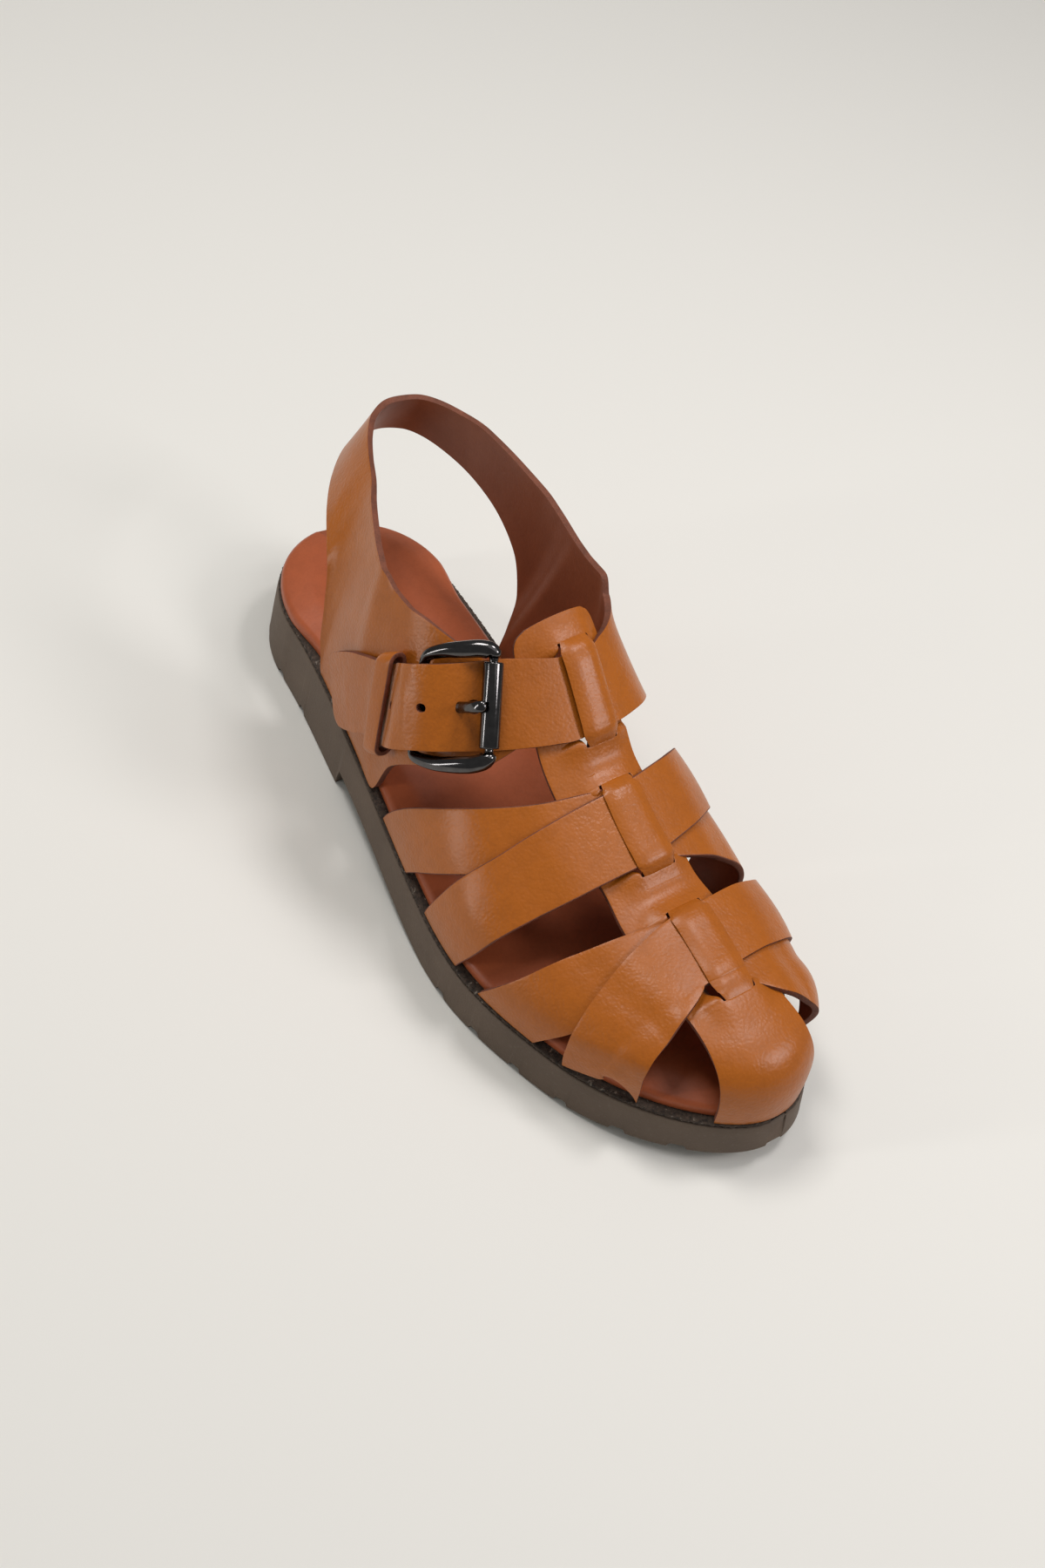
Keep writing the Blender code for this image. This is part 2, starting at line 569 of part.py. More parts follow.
def centre_strip():
    """Centre strip of the upper, with the slits that make its three bridges."""
    places = [first + BRIDGE_RAMP * share for first, _, _ in SLITS for share in (0, 0.33, 0.67, 1)]
    places += [last - BRIDGE_RAMP * share for _, last, _ in SLITS for share in (0, 0.33, 0.67, 1)]
    ends = [row[0] for row in STRIP_ROWS[:4]]
    plain = [0.49, 0.52, 0.58, 0.63, 0.66, 0.69, 0.736, 0.79, 0.82, 0.85]
    toe = np.linspace(0.885, 1.0, 8)
    station = np.unique(np.round(np.concatenate([places, ends, plain, toe]), 4))
    edges = smooth_rows([row[0] for row in STRIP_ROWS], [row[1:] for row in STRIP_ROWS], station)
    outer, inner = edges[:, 0], edges[:, 1]
    half = SLIT_WIDTH / 2
    left, right = np.maximum(BRIDGE_OUTER, outer + 0.01), np.minimum(BRIDGE_INNER, inner - 0.01)
    turn = np.stack([outer, (outer + left) / 2, left - half, left + half, (left + right) / 2,
                     right - half, right + half, (right + inner) / 2, inner], 1)
    station = np.broadcast_to(station[:, None], turn.shape)
    lift = np.zeros(turn.shape)
    lift[:, 3:6] = bridge_lift(station[:, 3:6])
    keep = np.ones((turn.shape[0] - 1, turn.shape[1] - 1), bool)
    middle = (station[1:, 0] + station[:-1, 0]) / 2
    for first, last, _ in SLITS:
        cut = (middle > first) & (middle < last)
        keep[cut, 2] = keep[cut, 5] = False
    inner, outer_face = form(station, turn, lift), form(station, turn, lift + LEATHER)
    return solid_sheet("upper", stand(inner), stand(outer_face), keep)


def join(base, others, hidden, operation="UNION"):
    """Union of a solid with others, or cuts by them; they stay as hidden cutters."""
    for other in others:
        hidden.objects.link(other)
        other.hide_render = True
        other.display_type = "WIRE"
        union = base.modifiers.new("join_" + other.name, "BOOLEAN")
        union.operation = operation
        union.solver = "EXACT"
        union.object = other


def buckle_zone():
    """Mid line of the ankle strap: station and turn of both edges, and way back from the roller."""
    rows = np.asarray(ANKLE_ROWS, float)
    share = np.linspace(0, 1, 161)
    rows = smooth_rows(np.linspace(0, 1, len(rows)), rows, share)
    middle = form(rows[:, [0, 2]].mean(1), rows[:, [1, 3]].mean(1), np.full(len(rows), LEATHER))
    run = np.concatenate([[0], np.cumsum(np.linalg.norm(np.diff(middle, axis=0), axis=1))])
    roller = form(*ROLLER_PLACE, LEATHER)
    return rows, run - run[np.argmin(np.linalg.norm(middle - roller, axis=1))]


def strap_lift(back):
    place = [row[0] for row in STRAP_LIFTS]
    lifts = [[row[1]] for row in STRAP_LIFTS]
    return smooth_rows(place, lifts, np.clip(back, place[0], place[-1]))[:, 0]


def ankle_edges():
    """Inner faces of the ankle strap: lower edge, middle and upper edge, row by row."""
    rows, back = buckle_zone()
    slant = STRAP_HALF * BUCKLE_SKEW
    low = form(rows[:, 0], rows[:, 1], strap_lift(back - slant))
    high = form(rows[:, 2], rows[:, 3], strap_lift(back + slant))
    lift = strap_lift(back)
    middle = form(rows[:, [0, 2]].mean(1), rows[:, [1, 3]].mean(1), lift)
    chord = (form(rows[:, 0], rows[:, 1], lift) + form(rows[:, 2], rows[:, 3], lift)) / 2
    flat = (ease((back + 12 * MM) / (12 * MM)) + ease((-45 * MM - back) / (20 * MM)))[:, None] * 0.85
    middle = middle * (1 - flat) + chord * flat
    return np.stack([low, middle, high], 1)[::3]


def heel_rows():
    """Inner faces of the heel strap from the tab round the heel to the ankle strap's tip."""
    tab = np.asarray(TAB_ROWS, float)
    tab_middle = form(tab[:, [0, 2]].mean(1), tab[:, [1, 3]].mean(1), 0.0)
    tab_rows = np.stack([form(tab[:, 0], tab[:, 1]), tab_middle, form(tab[:, 2], tab[:, 3])], 1)
    rows = []
    for low_at, low_side, low_up, high_at, high_side, high_up, bow in HEEL_ROWS:
        if low_up == 0:
            side = np.sign(low_side)
            low = np.array([*edge(low_at, side, -LEDGE - LEATHER), seat(low_at)])
        else:
            low = np.array([low_side * BALL_WIDTH, along(low_at), seat(low_at) + low_up * COLLAR_HEIGHT])
        high = np.array([high_side * BALL_WIDTH, along(high_at), seat(0.1) + high_up * COLLAR_HEIGHT])
        out = np.array([np.sign(low_side) * bow * BALL_WIDTH, 0, 0])
        rows.append([low, (low + high) / 2 + out, high])
    return np.concatenate([tab_rows, np.array(rows), ankle_edges()])


def across_rows(rows, steps):
    """Points across each row, on the curve through its lower edge, middle and upper edge."""
    share = np.linspace(0, 1, steps + 1)[None, :, None]
    low, middle, high = rows[:, None, 0], rows[:, None, 1], rows[:, None, 2]
    weight = (2 * (share - 0.5) * (share - 1), 4 * share * (1 - share), 2 * share * (share - 0.5))
    return low * weight[0] + middle * weight[1] + high * weight[2]


def heel_strap():
    rows = heel_rows()
    run = np.concatenate([[0], np.cumsum(np.linalg.norm(np.diff(rows, axis=0), axis=2).mean(1))])
    count = int(run[-1] / (4.5 * MM))
    smooth = smooth_rows(run, rows, np.linspace(0, run[-1], count))
    inner = across_rows(smooth, 3)
    outer = inner + grid_normals(inner) * LEATHER
    return solid_sheet("heel_strap", stand(inner), stand(outer))


def on_strap(back, side, height):
    """Point near the buckle: way back from the roller, side (positive to the upper edge) and
    height over the chord of the foot form across the strap."""
    rows, place = buckle_zone()
    low, high = form(rows[:, 0], rows[:, 1]), form(rows[:, 2], rows[:, 3])
    centre = (low + high) / 2
    across = (high - low) / np.linalg.norm(high - low, axis=1, keepdims=True)
    run = np.gradient(centre, axis=0)
    out = np.cross(across, run)
    out /= np.linalg.norm(out, axis=1, keepdims=True)
    back, side, height = np.broadcast_arrays(*[np.asarray(v, float) for v in (back, side, height)])
    back = back - side * BUCKLE_SKEW
    read = [np.stack([np.interp(back, place, grid[:, k]) for k in range(3)], -1)
            for grid in (centre, across, out)]
    return read[0] + read[1] * side[..., None] + read[2] * height[..., None]


def on_buckle(back, side, height):
    """The same, but straight across, for the metal and the leather fold round its bar."""
    half = STRAP_HALF
    axis = on_strap(back, half, 0.0) - on_strap(back, -half, 0.0)
    axis /= np.linalg.norm(axis, axis=-1, keepdims=True)
    return on_strap(back, 0.0, height) + axis * np.asarray(side, float)[..., None]


def tube(name, path, wide, tall, up, sides, closed):
    """Rod along a path with an oval section: half sizes across and along the up vectors."""
    run = np.gradient(path, axis=0)
    if closed:
        run = np.roll(path, -1, 0) - np.roll(path, 1, 0)
    run /= np.linalg.norm(run, axis=1, keepdims=True)
    across = np.cross(up, run)
    across /= np.linalg.norm(across, axis=1, keepdims=True)
    rise = np.cross(run, across)
    turn = np.linspace(0, 2 * np.pi, sides, endpoint=False)
    ring = (across[:, None] * (wide[:, None] * np.cos(turn))[..., None]
            + rise[:, None] * (tall[:, None] * np.sin(turn))[..., None])
    rings = path[:, None] + ring
    mesh = bmesh.new()
    verts = [[mesh.verts.new(point) for point in row] for row in rings]
    pairs = list(zip(verts[:-1], verts[1:])) + ([(verts[-1], verts[0])] if closed else [])
    for a, b in pairs:
        for k in range(sides):
            mesh.faces.new((a[k], a[(k + 1) % sides], b[(k + 1) % sides], b[k]))
    if not closed:
        mesh.faces.new(list(reversed(verts[0])))
        mesh.faces.new(verts[-1])
    return finish_mesh(name, mesh)


def even_rows(rows, count):
    """Rows read along their own length at even steps."""
    rows = np.asarray(rows, float)
    run = np.concatenate([[0], np.cumsum(np.linalg.norm(np.diff(rows[:, :2], axis=0), axis=1))])
    return smooth_rows(run, rows, np.linspace(0, run[-1], count))


def strap_up(count):
    """Vectors along the height over the strap at the roller, one for each point of a path."""
    up = on_strap(0.0, 0.0, 1.0) - on_strap(0.0, 0.0, 0.0)
    return np.tile(up, (count, 1))


def buckle_frame():
    half = even_rows(FRAME_ROWS, 24)
    other = half[-2:0:-1] * np.array([1, -1, 1])
    rows = np.concatenate([half, other])
    share = rows[:, 0] / BAR_BACK
    path = on_buckle(rows[:, 0], rows[:, 1], PIN_HEIGHT + (BAR_HEIGHT - PIN_HEIGHT) * share)
    return tube("buckle_frame", path, rows[:, 2], rows[:, 2], strap_up(len(path)), 10, True)


def buckle_roller():
    turn = np.linspace(0, 2 * np.pi, 20, endpoint=False)
    side = np.array([-1, 1]) * ROLLER_LENGTH / 2
    grids = []
    for radius in (PIN_WIRE / 2 + GAP, ROLLER_DIAMETER / 2):
        back, height = radius * np.cos(turn), radius * np.sin(turn)
        ends = [round_bar(back, height, place) for place in side]
        grids.append(np.stack(ends, 1))
    return solid_sheet("buckle_roller", *grids, wrap=True)


def round_bar(back, height, side):
    """Points round the roller's axis, in its own straight frame."""
    centre = on_buckle(0.0, side, PIN_HEIGHT)
    axis = on_buckle(0.0, 1.0, 0.0) - on_buckle(0.0, 0.0, 0.0)
    rise = strap_up(1)[0] - axis * (strap_up(1)[0] @ axis)
    rise /= np.linalg.norm(rise)
    run = np.cross(rise, axis)
    return centre + back[:, None] * run + height[:, None] * rise


def prong_path(rows, spread):
    """Swept prong with room around it: its path and half sizes."""
    path = on_strap(rows[:, 0], 0.0, rows[:, 1])
    wide = np.full(len(rows), PRONG_WIDTH / 2 + spread)
    side = on_buckle(rows[:, 0], 1.0, 0.0) - on_buckle(rows[:, 0], 0.0, 0.0)
    run = np.gradient(path, axis=0)
    return path, wide, rows[:, 2] + spread, np.cross(run, side)


def buckle_prong():
    angle = np.radians(np.linspace(50, 292, 13))
    hook = np.column_stack([BAR_BACK - FOLD * np.cos(angle), BAR_HEIGHT + FOLD * np.sin(angle),
                            np.full(len(angle), CHAPE_LEATHER / 2)])
    rows = np.concatenate([hook, even_rows(PRONG_ROWS, 16)])
    path, wide, tall, up = prong_path(rows, 0.0)
    return tube("buckle_prong", path, wide, tall, up, 10, False)


def folded(name, rows, half_width, thickness, slot_rows=0, slot_half=0.0):
    """Leather fold: rows of way back and height of its middle layer, with a slot at the bend."""
    rows = np.asarray(rows, float)
    run = np.gradient(rows, axis=0)
    away = np.column_stack([run[:, 1], -run[:, 0]])
    away *= thickness / 2 / np.linalg.norm(away, axis=1, keepdims=True)
    side = np.array([-half_width, -slot_half, slot_half, half_width]) if slot_rows else \
        np.array([-half_width, 0.0, half_width])
    grids = [on_buckle(rows[:, :1] + way * away[:, :1] + 0 * side, side[None, :] + 0 * rows[:, :1],
                       rows[:, 1:] + way * away[:, 1:] + 0 * side) for way in (-1, 1)]
    keep = np.ones((len(rows) - 1, len(side) - 1), bool)
    if slot_rows:
        middle = len(rows) // 2
        keep[middle - slot_rows:middle + slot_rows, 1] = False
    return solid_sheet(name, *grids, keep)


def buckle_chape():
    low = LEATHER + CROWN + GAP + CHAPE_LEATHER / 2
    end = KEEPER_BACK - 7 * MM
    angle = np.radians(np.linspace(-90, 90, 9))
    wrap = np.column_stack([BAR_BACK - FOLD * np.cos(angle), BAR_HEIGHT + FOLD * np.sin(angle)])
    under = [(end, low), (BAR_BACK + 5.5 * MM, low), (BAR_BACK + 3.8 * MM, low), (BAR_BACK + 2 * MM, low)]
    over = [(BAR_BACK + 2 * MM, BAR_HEIGHT + FOLD - 0.2 * MM), (BAR_BACK + 3.8 * MM, BAR_HEIGHT + 1.3 * MM),
            (BAR_BACK + 5.5 * MM, low + 2.0 * MM), (end, low + CHAPE_LEATHER + GAP)]
    rows = np.concatenate([under, wrap, over])
    return folded("buckle_chape", rows, CHAPE_WIDTH / 2, CHAPE_LEATHER, 6, PRONG_WIDTH / 2 + 1.5 * GAP)


def keeper_loop():
    """Closed loop of leather round tab top and strap: a rounded slot in section."""
    low = LEATHER + CROWN + GAP + KEEPER_LEATHER / 2
    high = OVER_KEEPER + 1.1 * MM + LEATHER + GAP + KEEPER_LEATHER / 2
    half, tall, bend = KEEPER_HALF + KEEPER_LEATHER / 2, (high - low) / 2, 2.4 * MM
    rows = []
    for turn in np.radians(np.arange(0, 360, 22.5)):
        side = np.sign(round(np.cos(turn), 6)) * (half - bend) + bend * np.cos(turn)
        rise = np.sign(round(np.sin(turn), 6)) * (tall - bend) + bend * np.sin(turn)
        rows.append((side, (low + high) / 2 + rise, np.cos(turn), np.sin(turn)))
    rows = np.array(rows)
    back = KEEPER_BACK + np.array([-0.5, 0.5]) * KEEPER_WIDTH
    grids = []
    for way in (-1, 1):
        step = way * KEEPER_LEATHER / 2
        grids.append(on_strap(back[None, :], rows[:, :1] + step * rows[:, 2:3], rows[:, 1:2] + step * rows[:, 3:]))
    return solid_sheet("keeper_loop", *grids, wrap=True)


def hole_cutters():
    """Cutters for the ankle strap's holes: one along the prong, the free ones straight."""
    rows = even_rows(PRONG_ROWS[1:6], 12)
    path, wide, tall, up = prong_path(rows, 1.5 * GAP)
    cutters = [tube("prong_hole", path, wide, tall, up, 12, False)]
    for back in HOLE_BACKS:
        path = on_strap(back, 0.0, np.array([4.0, 14.0]) * MM)
        radius = np.full(2, HOLE_SIZE / 2)
        side = on_strap(back, 1.0, 0.0) - on_strap(back, 0.0, 0.0)
        name = "hole_" + str(round(back / MM))
        cutters.append(tube(name, path, radius, radius, np.tile(side, (2, 1)), 12, False))
    return cutters


def build():
    for thing in list(bpy.data.objects):
        bpy.data.objects.remove(thing, do_unlink=True)
    group = bpy.data.collections.new("fisherman_sandal")
    hidden = bpy.data.collections.new("cutters")
    for made in (group, hidden):
        bpy.context.scene.collection.children.link(made)
    rubber = material("outsole_rubber", (0.115, 0.082, 0.060), 0.62)
    dark = material("board_edge", (0.035, 0.026, 0.020), 0.8)
    lining = material("insole_leather", (0.30, 0.085, 0.035), 0.38)
    tan = material("strap_leather", (0.38, 0.135, 0.030), 0.42)
    steel = material("gunmetal", (0.11, 0.10, 0.10), 0.22, 1.0)
    place(outsole(), rubber, group)
    place(board(), dark, group)
    place(insole(), lining, group)
    upper = place(centre_strip(), tan, group)
    straps = (("mid_under", MID_UNDER, 27), ("mid_over", MID_OVER, 29),
              ("toe_under", TOE_UNDER, 26), ("toe_over", TOE_OVER, 31))
    join(upper, [strap_solid(*strap) for strap in straps], hidden)
    strap = place(heel_strap(), tan, group)
    join(strap, hole_cutters(), hidden, "DIFFERENCE")
    place(buckle_chape(), tan, group)
    place(keeper_loop(), tan, group)
    place(buckle_frame(), steel, group)
    place(buckle_roller(), steel, group)
    place(buckle_prong(), steel, group)


build()
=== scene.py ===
"""Fisherman sandal, right foot: the looks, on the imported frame, in metres.

+Y runs to the toe, +X to the outer side of the foot and +Z up. A place on the foot form is
given by its station (share of the sole's length) and its turn (0 at the outer edge of the
sole, 0.5 on the ridge, 1 at the inner edge).
"""

import bmesh
import bpy
import numpy as np
from mathutils import Matrix


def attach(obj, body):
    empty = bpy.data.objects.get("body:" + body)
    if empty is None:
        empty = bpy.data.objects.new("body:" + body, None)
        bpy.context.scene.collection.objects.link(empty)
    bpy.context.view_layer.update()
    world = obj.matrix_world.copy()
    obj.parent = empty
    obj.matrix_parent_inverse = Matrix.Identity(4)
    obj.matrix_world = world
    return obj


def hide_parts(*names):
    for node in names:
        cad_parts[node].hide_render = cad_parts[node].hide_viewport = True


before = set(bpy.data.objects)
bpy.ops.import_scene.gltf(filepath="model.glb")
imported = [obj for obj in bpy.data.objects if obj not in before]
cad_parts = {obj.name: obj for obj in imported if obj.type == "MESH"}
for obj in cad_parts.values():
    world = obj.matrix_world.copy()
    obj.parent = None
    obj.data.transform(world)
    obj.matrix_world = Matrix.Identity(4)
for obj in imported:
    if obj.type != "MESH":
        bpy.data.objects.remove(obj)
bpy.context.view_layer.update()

# Outsole: one piece of brown rubber from a mould, with a heel, an arched waist, a raised toe
# and square lugs whose ends show as notches along the side.
MM = 0.001
SOLE_LENGTH = 258 * MM
HEEL_BEHIND = 40 * MM
BALL_WIDTH = 86 * MM
FOREFOOT_THICKNESS = 13.6 * MM
HEEL_THICKNESS = 23 * MM
TOE_SPRING = 7 * MM
WAIST_LIFT = 7.5 * MM
SOLE_FLARE = 1.6 * MM
GROOVE_DEPTH = 1.8 * MM
GROOVE_WIDTH = 4.2 * MM
GROOVE_SQUARE = 6
LIP_ROUND = 0.6 * MM
FOOT_ROUND = 0.7 * MM
# Along, outer and inner edge as shares of the ball width, rise from forefoot to heel.
SOLE_ROWS = (
    (0.00, 0.362, -0.357, 1.00),
    (0.12, 0.362, -0.337, 1.00),
    (0.25, 0.420, -0.316, 0.97),
    (0.40, 0.508, -0.298, 0.58),
    (0.55, 0.597, -0.330, 0.18),
    (0.66, 0.627, -0.362, 0.00),
    (0.76, 0.577, -0.375, 0.00),
    (0.86, 0.485, -0.375, 0.06),
    (0.94, 0.400, -0.355, 0.22),
    (1.00, 0.330, -0.320, 0.45),
)
HEEL_ROUND = 0.13
TOE_ROUND = 0.20
TOE_POWER = 2.2
# Arch between the heel and the forefoot: along, share of the waist's lift.
WAIST_ROWS = (
    (0.312, 0.0), (0.320, 1.0), (0.36, 0.98), (0.42, 0.80), (0.48, 0.52), (0.54, 0.22), (0.60, 0.0),
)
SPRING_FROM = 0.78
GROOVES = (0.058, 0.125, 0.192, 0.642, 0.705, 0.768, 0.831, 0.894, 0.948)


def spline(rows, at):
    """Natural cubic curve through rows whose first column is the place, read at each place."""
    rows = np.asarray(rows, float)
    place, value = rows[:, 0], rows[:, 1:]
    step = np.diff(place)
    count = len(place)
    matrix = np.eye(count)
    right = np.zeros_like(value)
    for i in range(1, count - 1):
        matrix[i, i - 1:i + 2] = step[i - 1], 2 * (step[i - 1] + step[i]), step[i]
        right[i] = 6 * ((value[i + 1] - value[i]) / step[i] - (value[i] - value[i - 1]) / step[i - 1])
    bend = np.linalg.solve(matrix, right)
    at = np.clip(np.asarray(at, float), place[0], place[-1])
    i = np.clip(np.searchsorted(place, at) - 1, 0, count - 2)
    after = (at - place[i])[..., None]
    before = (place[i + 1] - at)[..., None]
    h = step[i][..., None]
    curve = (bend[i] * before ** 3 + bend[i + 1] * after ** 3) / (6 * h)
    curve += (value[i] / h - bend[i] * h / 6) * before
    return curve + (value[i + 1] / h - bend[i + 1] * h / 6) * after


def smooth_rows(place, values, at):
    """Cubic through values with harmonic mean slopes, so it never swings past them."""
    place, values = np.asarray(place, float), np.asarray(values, float)
    step = np.diff(place)
    step = step.reshape(step.shape + (1,) * (values.ndim - 1))
    slope = np.diff(values, axis=0) / step
    same = slope[:-1] * slope[1:] > 0
    mean = np.where(same, 2 * slope[:-1] * slope[1:] / np.where(same, slope[:-1] + slope[1:], 1), 0)
    tangent = np.concatenate([slope[:1], mean, slope[-1:]])
    i = np.clip(np.searchsorted(place, at) - 1, 0, len(place) - 2)
    t = ((at - place[i]) / (place[i + 1] - place[i])).reshape((-1,) + (1,) * (values.ndim - 1))
    h = step[i]
    curve = values[i] * (1 + 2 * t) * (1 - t) ** 2 + values[i + 1] * t * t * (3 - 2 * t)
    return curve + h * (tangent[i] * t * (1 - t) ** 2 - tangent[i + 1] * t * t * (1 - t))


def ease(value):
    """0 to 1 with level ends: 3t^2 - 2t^3."""
    t = np.clip(value, 0, 1)
    return t * t * (3 - 2 * t)


def unit(vectors):
    """Vectors divided by their own lengths."""
    return vectors / np.maximum(np.linalg.norm(vectors, axis=-1, keepdims=True), 1e-12)


def along(station):
    """Place on the Y axis of a share of the sole's length."""
    return np.asarray(station) * SOLE_LENGTH - HEEL_BEHIND


def edge(station, side, out=0.0):
    """Plan point of the sole's edge: half the width times a rounded heel and a superellipse toe,
    moved off the edge by a distance along its normal."""
    def raw(u):
        """Point on the edge itself."""
        outer, inner = np.moveaxis(spline(SOLE_ROWS, u)[..., :2] * BALL_WIDTH, -1, 0)
        back = np.clip(1 - u / HEEL_ROUND, 0, 1)
        front = np.clip(1 - (1 - u) / TOE_ROUND, 0, 1)
        tip = np.sqrt(1 - back ** 2) * (1 - front ** TOE_POWER) ** (1 / TOE_POWER)
        return np.stack([(outer + inner) / 2 + side * (outer - inner) / 2 * tip, along(u)], -1)
    u = np.clip(np.asarray(station, float), 0, 1)
    point = raw(u)
    run = unit(raw(np.minimum(u + 1e-4, 1)) - raw(np.maximum(u - 1e-4, 0)))
    away = np.stack([run[..., 1], -run[..., 0]], -1) * side
    return point + away * np.asarray(out)[..., None]


def top_edge(station):
    """Height of the outsole's top edge."""
    rise = spline(SOLE_ROWS, station)[..., 2]
    return FOREFOOT_THICKNESS + (HEEL_THICKNESS - FOREFOOT_THICKNESS) * rise


def underside(station):
    """Height of the underside: waist arch from its rows, and a parabola for the toe spring."""
    rows = np.asarray(WAIST_ROWS)
    waist = np.interp(station, rows[:, 0], rows[:, 1], left=0, right=0) * WAIST_LIFT
    toe = np.clip((np.asarray(station) - SPRING_FROM) / (1 - SPRING_FROM), 0, 1)
    return waist + TOE_SPRING * toe ** 2


def mesh_piece(name, points, faces, materials, slots=None, smooth=True):
    """Object from arrays of points and faces; smooth, with one slot number for each face."""
    data = bpy.data.meshes.new(name)
    data.from_pydata(points.tolist(), [], faces)
    for finish in materials:
        data.materials.append(finish)
    if slots is not None:
        data.polygons.foreach_set("material_index", np.asarray(slots, np.int32))
    data.polygons.foreach_set("use_smooth", np.full(len(data.polygons), smooth))
    data.update()
    piece = bpy.data.objects.new(name, data)
    bpy.context.scene.collection.objects.link(piece)
    return piece


def turn_outwards(piece):
    """Faces of a closed piece turned to point outwards."""
    shell = bmesh.new()
    shell.from_mesh(piece.data)
    bmesh.ops.recalc_face_normals(shell, faces=shell.faces)
    shell.to_mesh(piece.data)
    shell.free()


def ring_piece(name, rings, materials, endless=False):
    """Skin through rings of equal counts, stacked as an array: with a cap at each end, or
    endless, where the last ring joins the first."""
    count, sides = rings.shape[:2]
    i, j = np.meshgrid(np.arange(count if endless else count - 1), np.arange(sides), indexing="ij")
    n, k = (i + 1) % count, (j + 1) % sides
    quads = np.stack([i * sides + j, i * sides + k, n * sides + k, n * sides + j], -1)
    faces = quads.reshape(-1, 4).tolist()
    if not endless:
        faces.append(list(range(sides))[::-1])
        faces.append(list(range((count - 1) * sides, count * sides)))
    piece = mesh_piece(name, rings.reshape(-1, 3), faces, materials)
    turn_outwards(piece)
    return piece


def sole_stations(count):
    """Stations with a cosine spacing, so that they close up at heel and toe. They stop just
    short of both ends, where the two sides would meet in one point."""
    return 0.0006 + 0.9988 * (0.5 - 0.5 * np.cos(np.linspace(0, np.pi, count)))


def layer_rings(station, out, height):
    """Points down each side of a sole layer: distance out from the edge, and height over the top
    edge at the point's own place. Returns the outer and the inner side."""
    sides = []
    for side in (1, -1):
        plan = edge(np.broadcast_to(station[:, None], out.shape), side, out)
        level = top_edge((plan[..., 1] + HEEL_BEHIND) / SOLE_LENGTH)
        sides.append(np.concatenate([plan, (level + height)[..., None]], -1))
    return sides


def node_tree(name):
    """New material, its node tree and its Principled shader."""
    finish = bpy.data.materials.new(name)
    finish.use_nodes = True
    tree = finish.node_tree
    return finish, tree, tree.nodes["Principled BSDF"]


def feed(tree, node, inputs):
    """Inputs of a node, each a plain value or another node's socket."""
    for key, value in inputs.items():
        if isinstance(value, bpy.types.NodeSocket):
            tree.links.new(value, node.inputs[key])
        else:
            node.inputs[key].default_value = value


def add(tree, kind, inputs, **settings):
    """Node with its settings and its inputs."""
    node = tree.nodes.new(kind)
    for key, value in settings.items():
        setattr(node, key, value)
    feed(tree, node, inputs)
    return node


def noise_at(tree, scale, detail=3.0, rough=0.55, twist=0.0):
    """Noise on Object coordinates, with cells of about 1 / scale metres."""
    place = add(tree, "ShaderNodeTexCoord", {}).outputs["Object"]
    return add(tree, "ShaderNodeTexNoise", {"Vector": place, "Scale": scale, "Detail": detail,
                                            "Roughness": rough, "Distortion": twist}).outputs["Fac"]


def blend_colours(tree, share, low, high, start=0.3, end=0.7):
    """Colour ramp between two colours over a share."""
    ramp = add(tree, "ShaderNodeValToRGB", {"Fac": share})
    ramp.color_ramp.elements[0].position, ramp.color_ramp.elements[1].position = start, end
    ramp.color_ramp.elements[0].color = (*low, 1)
    ramp.color_ramp.elements[1].color = (*high, 1)
    return ramp.outputs["Color"]


def ranged(tree, value, low, high, start=0.0, end=1.0):
    """Value mapped from the span between start and end to the one between low and high."""
    return add(tree, "ShaderNodeMapRange", {"Value": value, "From Min": start, "From Max": end,
                                            "To Min": low, "To Max": high}).outputs["Result"]


def spotted(tree, share, colour, spots):
    """Colour with another laid over it by a share."""
    return add(tree, "ShaderNodeMix", {0: share, 6: colour, 7: (*spots, 1)}, data_type="RGBA").outputs[2]


def bump_from(tree, shader, height, depth, strength):
    """Shader's normals tilted by a height map of a depth in metres."""
    bump = add(tree, "ShaderNodeBump", {"Height": height, "Distance": depth, "Strength": strength})
    tree.links.new(bump.outputs["Normal"], shader.inputs["Normal"])


def outsole_rubber():
    """Matt brown rubber: fine mould texture, pale scuffs and dust in its pits."""
    finish, tree, shader = node_tree("outsole_rubber")
    broad = noise_at(tree, 55, 4, 0.6)
    fine = noise_at(tree, 1500, 2, 0.6)
    colour = blend_colours(tree, broad, (0.096, 0.066, 0.045), (0.132, 0.094, 0.067), 0.3, 0.72)
    speck = blend_colours(tree, noise_at(tree, 900, 2), (0, 0, 0), (0.35, 0.35, 0.35), 0.60, 0.80)
    feed(tree, shader, {"Base Color": spotted(tree, speck, colour, (0.19, 0.145, 0.11)),
                        "Roughness": ranged(tree, broad, 0.52, 0.74), "Specular IOR Level": 0.38})
    bump_from(tree, shader, fine, 0.00025, 0.5)
    return finish


station = np.unique(np.concatenate([sole_stations(420), np.array(WAIST_ROWS)[:2, 0],
                                    *[np.linspace(g - 0.012, g + 0.012, 25) for g in GROOVES]]))
low = underside(station)
half_groove = GROOVE_WIDTH / 2 / SOLE_LENGTH
for groove in GROOVES:
    share = np.abs(station - groove) / half_groove
    low = low + GROOVE_DEPTH * np.clip(1 - share ** GROOVE_SQUARE, 0, 1)
depth = (top_edge(station) - low)[:, None]
round_ = np.linspace(0, np.pi / 2, 5)
lip_out = -LIP_ROUND * (1 - np.sin(round_))
lip_down = -LIP_ROUND * (1 - np.cos(round_))
side_share = np.linspace(0.12, 0.9, 7)
foot_out = SOLE_FLARE - FOOT_ROUND * (1 - np.cos(round_))
foot_up = FOOT_ROUND * (1 - np.sin(round_))
out = np.concatenate([[-9 * MM, -3 * MM], lip_out, SOLE_FLARE * side_share ** 0.8, foot_out])
